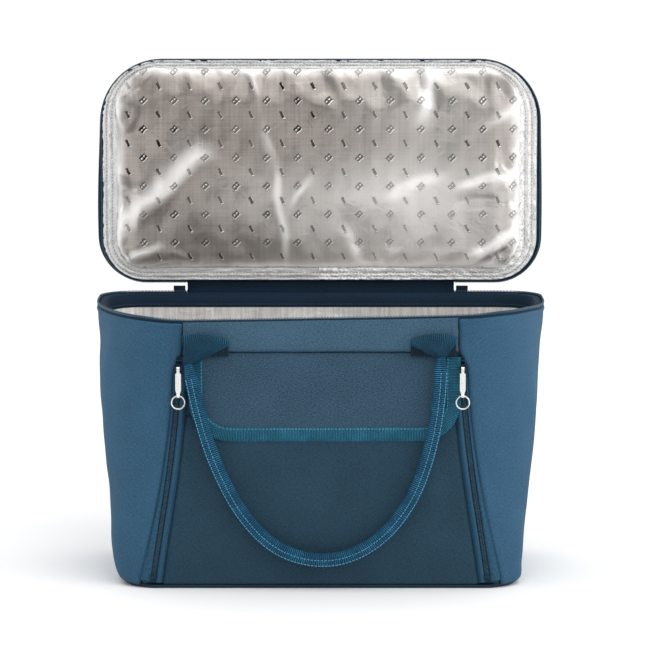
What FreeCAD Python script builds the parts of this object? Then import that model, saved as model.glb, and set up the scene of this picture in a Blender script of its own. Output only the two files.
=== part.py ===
"""Insulated cooler bag: a soft tote with a zipped, foil-lined lid, a flapped front pocket and two webbing handles.

Row frame, in millimetres: +Z up, +X to the wearer's right of the front face, the front faces -Y.
The origin is on the floor under the middle of the bag. The lid is modelled standing open at a right angle.
"""

import FreeCAD, Part
import math
import os

V = FreeCAD.Vector

# ---- driving dimensions -------------------------------------------------------------------------------------
RIM_Z = 240.0            # height of the mouth of the bag
RIM_HALF_W = 206.5       # half the width at the mouth
BASE_HALF_W = 181.0      # half the width at the floor
RIM_HALF_D = 106.0       # half the depth at the mouth
BASE_HALF_D = 100.0      # half the depth at the floor
RIM_R_FRONT = 57.0       # corner radii of the plan outline
RIM_R_REAR = 42.0
BASE_R = 32.0
BOTTOM_ROLL = 6.0        # height and inset of the rolled bottom edge

FABRIC = 1.2             # coated polyester shell
FOAM = 5.0               # wall and lid insulation
LINER = 0.8              # foil liner
WALL = FABRIC + FOAM + LINER
BOARD = 3.0              # stiffening board in the base
CUT = 400.0              # larger than the bag, for cutting tools

SHELL_TOP = RIM_Z - 9.0  # the shell fabric ends here and the zip tape carries on up to the mouth
FOAM_TOP = RIM_Z - 4.0
FLOOR_TOP = FABRIC + BOARD + FOAM
SKIRT = 1.2              # fabric band round the inside of the mouth
SKIRT_LOW = RIM_Z - 18.0

REAR_SEAM_X = 145.0
HINGE_HALF_W = 124.0     # the lid is sewn to the back over this half width
HINGE_Y = RIM_HALF_D
HINGE_Z = RIM_Z + 10.0

TAPE = 0.6               # zip tape thickness
TAPE_IN = 0.3            # how far the rim tapes lie inside the outline
RIM_TEETH_OUT = 0.6
RIM_TEETH_IN = 1.8
RIM_TEETH_H = 1.5

# ---- front pocket -------------------------------------------------------------------------------------------
ZIP_TOP_Z = 205.0
ZIP_LOW_Z = 8.0
ZIP_TOP_X = 124.3        # zip centre line at ZIP_TOP_Z and at ZIP_LOW_Z
ZIP_LOW_X = 148.5
ZIP_TAPE_HALF = 4.5
ZIP_TEETH_HALF = 2.0
RIB = 1.0                # folded gusset edges each side of the zip
POCKET_TOP = 150.0
POCKET_FRONT = -109.8
TAPE_FRONT = -107.8
TEETH_FRONT = -109.2
BAND_LOW = 212.0
BAND_HIGH = 236.0
BAND_FRONT = -111.5
BAND_HALF_W = 119.5

FLAP_TOP = 211.4
FLAP_LOW = 133.0
FLAP_HALF_W = 120.5
FLAP_CORNER = 26.0
FLAP_FRONT = -111.5
FLAP_THICK = 1.0
BINDING_W = 11.0
BINDING_FRONT = -111.9
BINDING_BACK = -110.1

# ---- handles ------------------------------------------------------------------------------------------------
WEB_W = 39.5             # flat webbing
WEB_T = 1.5
WEB_X_LEFT = -101.0
WEB_X_RIGHT = 99.5
GRIP_W = 13.0            # the same webbing rolled and stitched
GRIP_T = 7.0
GRIP_Y = -120.5
HANDLE_AXIS_Y = -117.0
HANDLE_AXIS_Z = 226.0
KNUCKLE_R = 3.8          # the fold over which the webbing turns down
# centre line of the hanging grip, left end to right end, x and z
GRIP_ROUTE = [(-115, 204), (-106.5, 157), (-93.5, 114.5), (-70, 67.5), (-36.5, 34), (8, 24.5),
              (50.5, 42), (82.5, 82), (98.5, 131), (105.5, 175), (105.5, 204)]

# ---- sliders and pulls --------------------------------------------------------------------------------------
SLIDER_START_Z = 197.5
SLIDER_W = 7.6
SLIDER_L = 11.0
PULL_AXIS_Y = -116.0
PULL_L = 24.0
PULL_W = 5.0
PULL_T = 1.2
EYE_R_OUT = 2.2
EYE_R_IN = 1.2
PIN_R = 0.8
RING_R = 5.8
RING_WIRE = 0.75
BARREL_R_OUT = 1.9
BARREL_R_IN = 1.15
BARREL_W = 2.4
RIM_SLIDER_X = 132.0
RIM_PULL_L = 17.0

OUT = "parts"


# ---- helpers ------------------------------------------------------------------------------------------------
def save(name, *shapes):
    """Write one sub-part, made of one or more closed solids."""
    solids = [s for shape in shapes for s in shape.Solids]
    for s in solids:
        if not s.isValid() or s.Volume <= 0:
            raise RuntimeError(f"{name} has a bad solid")
    whole = solids[0] if len(solids) == 1 else Part.makeCompound(solids)
    whole.exportStep(os.path.join(OUT, name + ".step"))
    print(f"{name:26s} solids {len(solids):3d}  volume {sum(s.Volume for s in solids):10.1f} mm3")


def box(x0, x1, y0, y1, z0, z1):
    return Part.makeBox(x1 - x0, y1 - y0, z1 - z0, V(x0, y0, z0))


def mirror_x(shape):
    return shape.mirror(V(0, 0, 0), V(1, 0, 0))


def turned(shape):
    """The same thing at the back of the bag."""
    s = shape.copy()
    s.rotate(V(0, 0, 0), V(0, 0, 1), 180)
    return s


def outline(half_w, front, rear, r_front, r_rear, z):
    """Rounded rectangle as a closed wire, always with the same eight edges in the same order."""
    corners = [(half_w, front, r_front, -90), (half_w, rear, r_rear, 0),
               (-half_w, rear, r_rear, 90), (-half_w, front, r_front, 180)]
    arcs = []
    for x, y, r, start in corners:
        centre = V(x - math.copysign(r, x), y - math.copysign(r, y), z)
        points = [centre + V(math.cos(math.radians(a)), math.sin(math.radians(a)), 0) * r
                  for a in (start, start + 45, start + 90)]
        arcs.append(points)
    edges = []
    for i, points in enumerate(arcs):
        edges.append(Part.Arc(*points).toShape())
        edges.append(Part.LineSegment(points[2], arcs[(i + 1) % 4][0]).toShape())
    return Part.Wire(edges)


def body_wire(z, inset):
    """Plan outline of the bag at height z, moved inwards by inset."""
    t = z / RIM_Z
    half_w = BASE_HALF_W + (RIM_HALF_W - BASE_HALF_W) * t
    half_d = BASE_HALF_D + (RIM_HALF_D - BASE_HALF_D) * t
    r_front = BASE_R + (RIM_R_FRONT - BASE_R) * t
    r_rear = BASE_R + (RIM_R_REAR - BASE_R) * t
    return outline(half_w - inset, inset - half_d, half_d - inset, r_front - inset, r_rear - inset, z)


def body_solid(inset, low, high, roll=0.0):
    """Tapered tub between two heights. roll draws the bottom edge in, as a rolled seam does."""
    if not roll:
        return Part.makeLoft([body_wire(low, inset), body_wire(high, inset)], True, True)
    steps = [(0, 1.0), (0.3, 0.3), (1.0, 0)]
    wires = [body_wire(low + roll * up, inset + roll * back) for up, back in steps]
    return Part.makeLoft(wires + [body_wire(high, inset)], True, True)


def body_ring(inset_out, inset_in, low, high):
    return body_solid(inset_out, low, high).cut(body_solid(inset_in, low, high))


def rim_ring(inset_out, inset_in, low, high):
    """Upright ring on the outline of the mouth."""
    def plate(inset):
        wire = outline(RIM_HALF_W - inset, inset - RIM_HALF_D, RIM_HALF_D - inset,
                       RIM_R_FRONT - inset, RIM_R_REAR - inset, low)
        return Part.Face(wire).extrude(V(0, 0, high - low))
    return plate(inset_out).cut(plate(inset_in))


def open_at_hinge(ring):
    """Zip parts stop where the lid is sewn to the back."""
    return ring.cut(box(-HINGE_HALF_W, HINGE_HALF_W, 50, CUT, 0, CUT))


def zip_x(z):
    """Centre line of the right-hand pocket zip."""
    return ZIP_LOW_X + (ZIP_TOP_X - ZIP_LOW_X) * (z - ZIP_LOW_Z) / (ZIP_TOP_Z - ZIP_LOW_Z)


def xz_plate(points, back, front):
    """Plate with an outline in x and z, between two y levels."""
    wire = Part.makePolygon([V(x, back, z) for x, z in points + points[:1]])
    return Part.Face(wire).extrude(V(0, front - back, 0))


def along_zip(from_x, to_x, back, front, low, high):
    """Strip that follows the right-hand zip, between two distances from its centre line."""
    return xz_plate([(zip_x(low) + from_x, low), (zip_x(low) + to_x, low),
                     (zip_x(high) + to_x, high), (zip_x(high) + from_x, high)], back, front)


def tube_x(x0, x1, y, z, r_out, r_in):
    """Short tube whose axis lies along X."""
    outer = Part.makeCylinder(r_out, x1 - x0, V(x0, y, z), V(1, 0, 0))
    if not r_in:
        return outer
    return outer.cut(Part.makeCylinder(r_in, x1 - x0, V(x0, y, z), V(1, 0, 0)))


# ---- body ---------------------------------------------------------------------------------------------------
def make_shell():
    """Outer fabric: a base tray, a front, a back and two sides that wrap round the corners."""
    outer = body_solid(0, 0, SHELL_TOP, BOTTOM_ROLL)
    inner = body_solid(FABRIC, FABRIC, SHELL_TOP, BOTTOM_ROLL)
    shell = outer.cut(inner)
    tray = shell.common(box(-CUT, CUT, -CUT, CUT, -1, BOTTOM_ROLL))
    walls = shell.cut(box(-CUT, CUT, -CUT, CUT, -1, BOTTOM_ROLL))
    front_zone = xz_plate([(-zip_x(0), 0), (zip_x(0), 0), (zip_x(RIM_Z), RIM_Z), (-zip_x(RIM_Z), RIM_Z)],
                          -60, -CUT)
    rear_zone = box(-REAR_SEAM_X, REAR_SEAM_X, 60, CUT, 0, RIM_Z)
    sides = walls.cut(front_zone).cut(rear_zone)
    save("base_panel", tray)
    save("front_panel", walls.common(front_zone))
    save("back_panel", walls.common(rear_zone))
    save("left_side_panel", sides.common(box(-CUT, 0, -CUT, CUT, 0, CUT)))
    save("right_side_panel", sides.common(box(0, CUT, -CUT, CUT, 0, CUT)))


def make_insulation():
    """Foam sheets in the walls and base, and the stiffening board."""
    ring = body_ring(FABRIC, FABRIC + FOAM, FLOOR_TOP, FOAM_TOP)
    flat = 118.0
    front = box(-flat, flat, -CUT, -60, 0, CUT)
    rear = box(-flat, flat, 60, CUT, 0, CUT)
    ends = ring.cut(front).cut(rear)
    save("front_foam", ring.common(front))
    save("back_foam", ring.common(rear))
    save("left_foam", ends.common(box(-CUT, 0, -CUT, CUT, 0, CUT)))
    save("right_foam", ends.common(box(0, CUT, -CUT, CUT, 0, CUT)))
    inset = FABRIC + BOTTOM_ROLL
    save("base_board", body_solid(inset, FABRIC, FABRIC + BOARD))
    save("base_foam", body_solid(FABRIC + 1.0, FABRIC + BOARD, FLOOR_TOP)
         .common(body_solid(FABRIC, FABRIC, FLOOR_TOP, BOTTOM_ROLL)))


def make_liner():
    outer = body_solid(FABRIC + FOAM, FLOOR_TOP, FOAM_TOP)
    save("liner_tub", outer.cut(body_solid(WALL, FLOOR_TOP + LINER, FOAM_TOP)))


def make_rim():
    """Band round the inside of the mouth, and the body's half of the lid zip."""
    skirt = body_ring(WALL, WALL + SKIRT, SKIRT_LOW, RIM_Z - 2)
    cap = body_ring(FABRIC, WALL, FOAM_TOP, RIM_Z - 2)
    save("rim_band", skirt.fuse(cap).removeSplitter())
    save("rim_zip_lower_tape", open_at_hinge(rim_ring(TAPE_IN, TAPE_IN + TAPE, SHELL_TOP, RIM_Z)))
    save("rim_zip_lower_teeth",
         open_at_hinge(rim_ring(-RIM_TEETH_OUT, RIM_TEETH_IN, RIM_Z, RIM_Z + RIM_TEETH_H)))
    save("lid_hinge_strip", box(-HINGE_HALF_W, HINGE_HALF_W, HINGE_Y + 0.3, HINGE_Y + 1.3,
                                BAND_HIGH, HINGE_Z - 1))


# ---- lid, drawn closed and then turned open -----------------------------------------------------------------
def opened(shape):
    s = shape.copy()
    s.rotate(V(0, HINGE_Y, HINGE_Z), V(1, 0, 0), -90)
    return s


def make_lid():
    top = HINGE_Z

    def plate(inset, low, high):
        wire = outline(RIM_HALF_W - inset, inset - RIM_HALF_D, RIM_HALF_D - inset,
                       RIM_R_FRONT - inset, RIM_R_REAR - inset, top + low)
        return Part.Face(wire).extrude(V(0, 0, high - low))

    def pillow_wire(inset, level):
        return outline(RIM_HALF_W - inset, inset - RIM_HALF_D, RIM_HALF_D - inset,
                       RIM_R_FRONT - inset, RIM_R_REAR - inset, top + level)

    save("lid_top_panel", opened(plate(0, -1.0, 0)))
    save("lid_foam", opened(plate(1.3, -5.5, -1.0)))
    save("lid_edge_band", opened(plate(0, -5.5, -1.0).cut(plate(1.3, -5.5, -1.0))))
    save("lid_binding", opened(plate(2.2, -6.3, -5.5).cut(plate(12.0, -6.3, -5.5))))
    save("lid_liner", opened(Part.makeLoft([pillow_wire(12.2, -5.5), pillow_wire(14.5, -9.0),
                                            pillow_wire(20.0, -12.0)], True, True)))
    tape = rim_ring(TAPE_IN, TAPE_IN + TAPE, top - 6.6, top - 5.5)
    teeth = rim_ring(-RIM_TEETH_OUT, RIM_TEETH_IN, top - 6.6 - RIM_TEETH_H, top - 6.6)
    save("rim_zip_upper_tape", opened(open_at_hinge(tape)))
    save("rim_zip_upper_teeth", opened(open_at_hinge(teeth)))


# ---- front pocket -------------------------------------------------------------------------------------------
def make_pocket():
    bag = body_solid(0, 0, RIM_Z)
    edge = ZIP_TAPE_HALF + RIB
    low = BOTTOM_ROLL + 0.5
    sheet = xz_plate([(-zip_x(low) + edge, low), (zip_x(low) - edge, low),
                      (zip_x(POCKET_TOP) - edge, POCKET_TOP), (-zip_x(POCKET_TOP) + edge, POCKET_TOP)],
                     POCKET_FRONT + FABRIC, POCKET_FRONT)
    floor = box(-zip_x(low) + edge, zip_x(low) - edge, POCKET_FRONT, -95, low, low + FABRIC)
    save("pocket_panel", sheet.fuse(floor.cut(bag)).removeSplitter())

    inner_rib = along_zip(-edge, -ZIP_TAPE_HALF, -95, POCKET_FRONT - 0.3, low, ZIP_TOP_Z)
    outer_rib = along_zip(ZIP_TAPE_HALF, edge, -95, TEETH_FRONT, low, ZIP_TOP_Z)
    tape = along_zip(-ZIP_TAPE_HALF, ZIP_TAPE_HALF, TAPE_FRONT + TAPE, TAPE_FRONT, ZIP_LOW_Z, ZIP_TOP_Z)
    teeth = along_zip(-ZIP_TEETH_HALF, ZIP_TEETH_HALF, TAPE_FRONT, TEETH_FRONT, ZIP_LOW_Z + 4, ZIP_TOP_Z - 1.5)
    low_stop = along_zip(-2.6, 2.6, TAPE_FRONT, TEETH_FRONT - 0.3, ZIP_LOW_Z + 0.5, ZIP_LOW_Z + 4)
    top_stop = along_zip(-2.6, 2.6, TAPE_FRONT, TEETH_FRONT - 0.3, ZIP_TOP_Z - 1.5, ZIP_TOP_Z)
    for side, place in (("right", lambda s: s), ("left", mirror_x)):
        save(f"pocket_gusset_{side}", place(inner_rib.cut(bag)), place(outer_rib.cut(bag)))
        save(f"pocket_zip_tape_{side}", place(tape))
        save(f"pocket_zip_teeth_{side}", place(teeth))
    save("pocket_zip_stops", low_stop, top_stop, mirror_x(low_stop), mirror_x(top_stop))



def make_bands():
    """Padded band above the flap, and the same at the back. It is deepest at its lower edge."""
    bag = body_solid(0, 0, RIM_Z)
    profile = [V(-BAND_HALF_W, -95, BAND_LOW), V(-BAND_HALF_W, BAND_FRONT, BAND_LOW),
               V(-BAND_HALF_W, BAND_FRONT, BAND_LOW + 10), V(-BAND_HALF_W, -107.0, BAND_HIGH),
               V(-BAND_HALF_W, -95, BAND_HIGH)]
    band = Part.Face(Part.makePolygon(profile + profile[:1])).extrude(V(2 * BAND_HALF_W, 0, 0))
    save("front_band", band.cut(bag))
    save("rear_band", turned(band).cut(bag))


def flap_face(inset, y):
    """Flap outline with two round lower corners. The top edge stays where it is."""
    half = FLAP_HALF_W - inset
    low = FLAP_LOW + inset
    r = FLAP_CORNER - inset
    k = r * (1 - math.sqrt(0.5))
    points = [V(half, y, FLAP_TOP), V(half, y, low + r), V(half - k, y, low + k), V(half - r, y, low)]
    flipped = [V(-p.x, p.y, p.z) for p in points]
    edges = [Part.LineSegment(points[0], points[1]).toShape(),
             Part.Arc(points[1], points[2], points[3]).toShape(),
             Part.LineSegment(points[3], flipped[3]).toShape(),
             Part.Arc(flipped[3], flipped[2], flipped[1]).toShape(),
             Part.LineSegment(flipped[1], flipped[0]).toShape(),
             Part.LineSegment(flipped[0], points[0]).toShape()]
    return Part.Face(Part.Wire(edges))


def make_flap():
    sheet = flap_face(BINDING_W, FLAP_FRONT).extrude(V(0, FLAP_THICK, 0))
    whole = flap_face(0, BINDING_FRONT).extrude(V(0, BINDING_BACK - BINDING_FRONT, 0))
    hole = flap_face(BINDING_W, BINDING_FRONT - 1).extrude(V(0, 4, 0))
    save("pocket_flap", sheet)
    save("flap_binding", whole.cut(hole))


# ---- handles ------------------------------------------------------------------------------------------------
def rounded_route(points, y, reach=0.45):
    """Straight runs joined by tangent arcs, each arc as large as its two runs allow."""
    at = [V(x, y, z) for x, z in points]
    edges, last = [], at[0]
    for before, here, after in zip(at, at[1:], at[2:]):
        back, on = before - here, after - here
        leg = reach * min(back.Length, on.Length)
        back.normalize()
        on.normalize()
        start, end = here + back * leg, here + on * leg
        half = 0.5 * back.getAngle(on)
        middle = (back + on).normalize()
        radius = leg * math.tan(half)
        crown = here + middle * (leg / math.cos(half) - radius)
        edges.append(Part.LineSegment(last, start).toShape())
        edges.append(Part.Arc(start, crown, end).toShape())
        last = end
    edges.append(Part.LineSegment(last, at[-1]).toShape())
    return Part.Wire(edges)


def level_rectangle(x, width, y, depth, z):
    """Flat rectangle centred on x, running from y towards the bag."""
    points = [V(x - width / 2, y, z), V(x + width / 2, y, z),
              V(x + width / 2, y + depth, z), V(x - width / 2, y + depth, z)]
    return Part.makePolygon(points + points[:1])


def make_grip():
    """Rolled webbing: a flat band of GRIP_W by GRIP_T swept down, across and up again."""
    path = rounded_route(GRIP_ROUTE, GRIP_Y)
    start, first = path.Edges[0].Vertexes[0].Point, path.Edges[0].Vertexes[1].Point
    along = (first - start).normalize()
    side = along.cross(V(0, 1, 0)).normalize() * (GRIP_W / 2)
    depth = V(0, GRIP_T / 2, 0)
    bevel = 0.3
    around = [(-1, -bevel), (-1, bevel), (-bevel, 1), (bevel, 1),
              (1, bevel), (1, -bevel), (bevel, -1), (-bevel, -1)]
    ring = [start + side * across + depth * deep for across, deep in around]
    profile = Part.makePolygon(ring + ring[:1])
    grip = path.makePipeShell([profile], True, False)
    for (x, z), web in ((GRIP_ROUTE[0], WEB_X_LEFT), (GRIP_ROUTE[-1], WEB_X_RIGHT)):
        front = HANDLE_AXIS_Y - KNUCKLE_R
        upper = level_rectangle(web, WEB_W, front + 0.1, WEB_T, HANDLE_AXIS_Z)
        lower = level_rectangle(x, GRIP_W - 1, GRIP_Y - WEB_T / 2, WEB_T, z - 3)
        grip = grip.fuse(Part.makeLoft([upper, lower], True, True))
        grip = grip.fuse(tube_x(web - WEB_W / 2, web + WEB_W / 2, HANDLE_AXIS_Y, HANDLE_AXIS_Z, KNUCKLE_R, 0))
    return grip.removeSplitter()


def make_handles():
    grip = make_grip()
    save("front_handle", grip)
    save("rear_handle", turned(grip))
    anchors = [box(x - WEB_W / 2, x + WEB_W / 2, BAND_FRONT - WEB_T, BAND_FRONT, BAND_LOW, HANDLE_AXIS_Z)
               for x in (WEB_X_LEFT, WEB_X_RIGHT)]
    save("front_handle_anchors", *anchors)
    save("rear_handle_anchors", *[turned(a) for a in anchors])


# ---- sliders, pulls and rings -------------------------------------------------------------------------------
def slider_parts(pin, pull_length, slant):
    """Slider on a zip that leans by slant degrees, with its pull and ring hanging straight down from the pin."""
    x, y, z = pin.x, pin.y, pin.z
    coil = TEETH_FRONT - 0.3
    half = SLIDER_W / 2
    top, low = z + 3.5, z + 3.5 - SLIDER_L
    slider = box(x - half, x + half, coil - 1.1, coil, low, top)
    for edge in (x - half, x + half - 1.0):
        slider = slider.fuse(box(edge, edge + 1.0, coil - 1.1, TAPE_FRONT - 0.2, low, top))
    slider.rotate(pin, V(0, 1, 0), -slant)
    ears = [box(x + s * 2.2 - 0.6, x + s * 2.2 + 0.6, y - 1.3, coil - 1.0, z - 1.6, z + 1.6) for s in (-1, 1)]
    slider = slider.fuse(ears + [tube_x(x - 2.8, x + 2.8, y, z, PIN_R, 0)]).removeSplitter()

    hole_z = z - pull_length
    eye = tube_x(x - 1.3, x + 1.3, y, z, EYE_R_OUT, 0)
    neck = box(x - 1.3, x + 1.3, y - PULL_T / 2, y + PULL_T / 2, z - 5, z - 1)
    blade = xz_plate([(x - PULL_W / 2, z - 4), (x + PULL_W / 2, z - 4),
                      (x + PULL_W / 2, hole_z + 5), (x + BARREL_W / 2, hole_z + 1),
                      (x - BARREL_W / 2, hole_z + 1), (x - PULL_W / 2, hole_z + 5)],
                     y + PULL_T / 2, y - PULL_T / 2)
    barrel = tube_x(x - BARREL_W / 2, x + BARREL_W / 2, y, hole_z, BARREL_R_OUT, 0)
    bores = [tube_x(x - 3, x + 3, y, z, EYE_R_IN, 0), tube_x(x - 3, x + 3, y, hole_z, BARREL_R_IN, 0)]
    pull = eye.fuse([neck, blade, barrel]).cut(bores[0]).cut(bores[1]).removeSplitter()
    ring = Part.makeTorus(RING_R, RING_WIRE, V(x, y, hole_z - RING_R), V(0, 1, 0))
    return slider, pull, ring


def make_pocket_sliders():
    slant = math.degrees(math.atan2(ZIP_LOW_X - ZIP_TOP_X, ZIP_TOP_Z - ZIP_LOW_Z))
    pin = V(zip_x(SLIDER_START_Z), PULL_AXIS_Y, SLIDER_START_Z)
    made = slider_parts(pin, PULL_L, slant)
    for side, place in (("right", lambda s: s), ("left", mirror_x)):
        for name, shape in zip((f"pocket_slider_{side}", f"pocket_pull_{side}", f"pull_ring_{side}"), made):
            save(name, place(shape))


def make_rim_sliders():
    """Two sliders parked at the back ends of the lid zip. The coil lies along X and faces +Y here."""
    half = SLIDER_L / 2
    y = RIM_HALF_D + RIM_TEETH_OUT + 0.4
    low, high = RIM_Z - 1.6, RIM_Z + 6.4
    plate = box(-half, half, y, y + 1.2, low, high)
    lips = [box(-half, half, y - 0.6, y, low, low + 1.0), box(-half, half, y - 0.6, y, high - 1.0, high)]
    pin_y, pin_z = y + 4.2, RIM_Z + 2.4
    ears = [box(s * 2.2 - 0.6, s * 2.2 + 0.6, y + 1.0, pin_y + 1.3, pin_z - 1.6, pin_z + 1.6) for s in (-1, 1)]
    slider = plate.fuse(lips + ears).fuse(tube_x(-2.8, 2.8, pin_y, pin_z, PIN_R, 0)).removeSplitter()
    eye = tube_x(-1.3, 1.3, pin_y, pin_z, EYE_R_OUT, EYE_R_IN)
    bore = tube_x(-3, 3, pin_y, pin_z, EYE_R_IN, 0)
    neck = box(-1.3, 1.3, pin_y - PULL_T / 2, pin_y + PULL_T / 2, pin_z - 5, pin_z - 1).cut(bore)
    blade = box(-PULL_W / 2, PULL_W / 2, pin_y - PULL_T / 2, pin_y + PULL_T / 2,
                pin_z - RIM_PULL_L, pin_z - 4)
    pull = eye.fuse([neck, blade]).removeSplitter()
    for side, x in (("right", RIM_SLIDER_X), ("left", -RIM_SLIDER_X)):
        save(f"rim_slider_{side}", slider.translated(V(x, 0, 0)))
        save(f"rim_pull_{side}", pull.translated(V(x, 0, 0)))


def main():
    os.makedirs(OUT, exist_ok=True)
    make_shell()
    make_insulation()
    make_liner()
    make_rim()
    make_lid()
    make_pocket()
    make_bands()
    make_flap()
    make_handles()
    make_pocket_sliders()
    make_rim_sliders()


main()
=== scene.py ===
import math

import bpy
import numpy as np
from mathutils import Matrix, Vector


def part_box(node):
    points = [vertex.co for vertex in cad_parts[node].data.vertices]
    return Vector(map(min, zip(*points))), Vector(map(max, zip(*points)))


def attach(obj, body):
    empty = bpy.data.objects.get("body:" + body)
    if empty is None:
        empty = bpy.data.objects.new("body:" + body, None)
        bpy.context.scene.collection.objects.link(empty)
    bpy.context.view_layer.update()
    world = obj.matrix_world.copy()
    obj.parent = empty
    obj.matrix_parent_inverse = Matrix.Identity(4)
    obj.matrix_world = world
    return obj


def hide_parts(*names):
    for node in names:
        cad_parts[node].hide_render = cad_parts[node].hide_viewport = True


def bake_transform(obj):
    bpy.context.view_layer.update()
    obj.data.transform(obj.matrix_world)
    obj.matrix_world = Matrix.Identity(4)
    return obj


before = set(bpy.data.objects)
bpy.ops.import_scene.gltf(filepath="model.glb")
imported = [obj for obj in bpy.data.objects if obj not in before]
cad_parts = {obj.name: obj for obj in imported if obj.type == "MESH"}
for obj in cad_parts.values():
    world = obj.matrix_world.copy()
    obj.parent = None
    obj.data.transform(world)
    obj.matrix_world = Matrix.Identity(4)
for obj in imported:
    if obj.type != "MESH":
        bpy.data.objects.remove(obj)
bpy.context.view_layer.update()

# ---- driving dimensions, in metres ----
RIM_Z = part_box("rim_zip_lower_tape")[1].z
RIM_HALF_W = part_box("lid_top_panel")[1].x - 0.0022
RIM_RISE = 0.0014         # the stuffed walls stand a little taller than the pattern
BASE_HALF_W = 0.180
RIM_HALF_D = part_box("lid_top_panel")[1].y
BASE_HALF_D = 0.100
BASE_R = 0.032            # corner radius at the floor
REAR_R = 0.042            # rear corner radius at the mouth
SWEEP_W = 0.074           # the front corners of the mouth are long soft quarter ellipses
SWEEP_D = 0.145
SIDE_TUCK = 0.0008        # the right side lies this far inside the straight taper
RIGHT_TUCK = 0.0014
SIDE_SWELL = 0.0003       # and the left side this far outside it
LEFT_BULGE = 0.0016
ROLL = 0.012              # radius of the bottom edge
FRONT_ROLL = 0.0025       # the front is hardly rolled at all
TRAY_Z = 0.0028           # seam between the base tray and the walls
WALL_TOP = RIM_Z - 0.0026
FABRIC = 0.0012
LINER_INSET = 0.0078

SEAM_X = 0.1215           # side seams at the mouth, front and rear
REAR_SEAM_X = 0.145
BAND_HALF = 0.1212
FRONT_Y = 0.1045          # the front panel, behind the pocket
HINGE_HALF = 0.1245       # half width of the hinge cloth, where the mouth's zip stops
HINGE_LOW, HINGE_HIGH = 0.2350, 0.2545
LID_ZIP_GAP = 0.124       # half of the gap in the lid's zip

LID_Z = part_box("lid_top_panel")[0].z
LID_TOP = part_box("lid_top_panel")[1].z
LID_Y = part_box("lid_top_panel")[1].y + 0.0035     # pushed back, so that the closed lid rests on the zip
LID_FACE_Y = LID_Y - 0.0065
LID_R_TOP = 0.057
LID_R_LOW = 0.042
EDGE_INSET = (0.0026, 0.0010, 0.0026)     # side, top and lower insets of the silver binding's outer edge
PILLOW_INSET = (0.0168, 0.0084, 0.0122)   # and of the pillow inside it
PILLOW_R = 0.034
PILLOW_T = 0.0062         # thickness before it is blown up
PILLOW_SHIFT = 0.0024     # to the left of the lid's middle
LID_RISE = -0.0036
LID_BULGE_LEFT, LID_BULGE_RIGHT = 0.0034, 0.0018

ZIP_HIGH, ZIP_LOW = 0.205, 0.007
ZIP_X_HIGH, ZIP_X_LOW = 0.1243, 0.1485
ZIP_BOW = 0.0030
TAPE_HALF = 0.0023
TAPE_Y = 0.1076
TOOTH_PITCH = 0.00135

POCKET_TOP = 0.150
POCKET_Y = 0.1096
FLAP_TOP, FLAP_LOW = 0.2112, 0.1325
FLAP_EDGES = ((-0.1160, 0.036), (0.1232, 0.034))     # x and corner radius of its left and right sides
FLAP_Y = 0.1112
BIND_W = 0.0122

WEB_W = 0.040
WEB_X = (-0.101, 0.0995)
AXIS_Y, AXIS_Z = 0.117, 0.226
FOLD_R = 0.0036
GRIP_Y = 0.1204
GRIP_HALF_W = 0.0061
GRIP_HALF_T = 0.0031
# x and z of the corners that the front grip's curve is drawn between
GRIP_ROUTE = [(-.1162, .2030), (-.1068, .1570), (-.0935, .1145), (-.0700, .0675), (-.0365, .0340),
              (.0080, .0245), (.0505, .0420), (.0825, .0820), (.0985, .1310), (.1052, .1750), (.1062, .2090)]
# its section, in half widths across and half thicknesses outward: two rolls with a groove between them
GRIP_SECTION = [(1, -0.3), (1.02, 0.25), (0.86, 0.92), (0.5, 1.08), (0.16, 0.95), (0.02, 0.72),
                (-0.12, 0.95), (-0.5, 1.08), (-0.86, 0.92), (-1.02, 0.25), (-1, -0.3), (-0.75, -0.95),
                (0, -1.05), (0.75, -0.95)]
FAN_LOW, FAN_FOLD = 0.2085, 0.222        # where a fan's webbing starts and where it begins to fold over
FAN_LEAN = (-0.0021, 0.0012)

CLOTH_FRAMES = 20
EDGE_R = 0.0002           # softened edges of the metal parts

MARK_COLUMN, MARK_ROW = 0.0286, 0.01325     # lattice of the marks in the lid's foil
MARK_ORIGIN = (-0.1217, 0.440475)

FOLDS = [  # ridges and valleys of the foil: two ends in x and z, width and height
    ((-.190, .300), (-.104, .380), .0110, .0030), ((-.166, .292), (-.092, .358), .0120, -.0016),
    ((-.186, .268), (-.150, .286), .0045, .0030), ((-.178, .262), (-.150, .272), .0035, -.0022),
    ((-.181, .452), (-.176, .424), .0050, .0030), ((-.170, .454), (-.166, .430), .0035, -.0026),
    ((-.066, .452), (-.043, .361), .0040, .0016), ((-.043, .361), (-.032, .268), .0036, .0020),
    ((-.060, .440), (-.036, .352), .0060, -.0013), ((-.010, .352), (-.028, .318), .0045, .0018),
    ((.105, .452), (.090, .400), .0060, .0022), ((.060, .330), (.115, .352), .0065, .0018),
    ((.120, .340), (.185, .352), .0050, .0020), ((.125, .325), (.188, .330), .0050, -.0016),
    ((.184, .300), (.130, .268), .0055, .0030), ((.180, .284), (.140, .262), .0040, -.0022),
    ((.190, .420), (.150, .395), .0050, .0016), ((.020, .300), (.040, .266), .0050, .0016),
]

CAMERA_AT = (0.004, -3.5, 0.649)
CAMERA_DIP = 6.95                            # degrees below level
LENS, SENSOR = 215.0, 36.0                   # millimetres
SKY_FRONT, SKY_BACK = 0.15, 1.40             # strength of the glow in front and behind
FLOOR_HALF, FLOOR_TONE = 60.0, 0.97
LIGHTS = [  # name, kind, place, power and side of the square; for the sun, its strength and its angle
    ("key", "SUN", (0.4, -1.0, 0.95), 0.90, math.radians(70)),
    ("top", "AREA", (0.1, -0.6, 2.4), 8, 1.6),
    ("left", "AREA", (-2.4, -0.6, 1.0), 4.5, 1.0),
    ("right", "AREA", (2.2, -1.0, 0.9), 13, 1.2),
]

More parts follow.
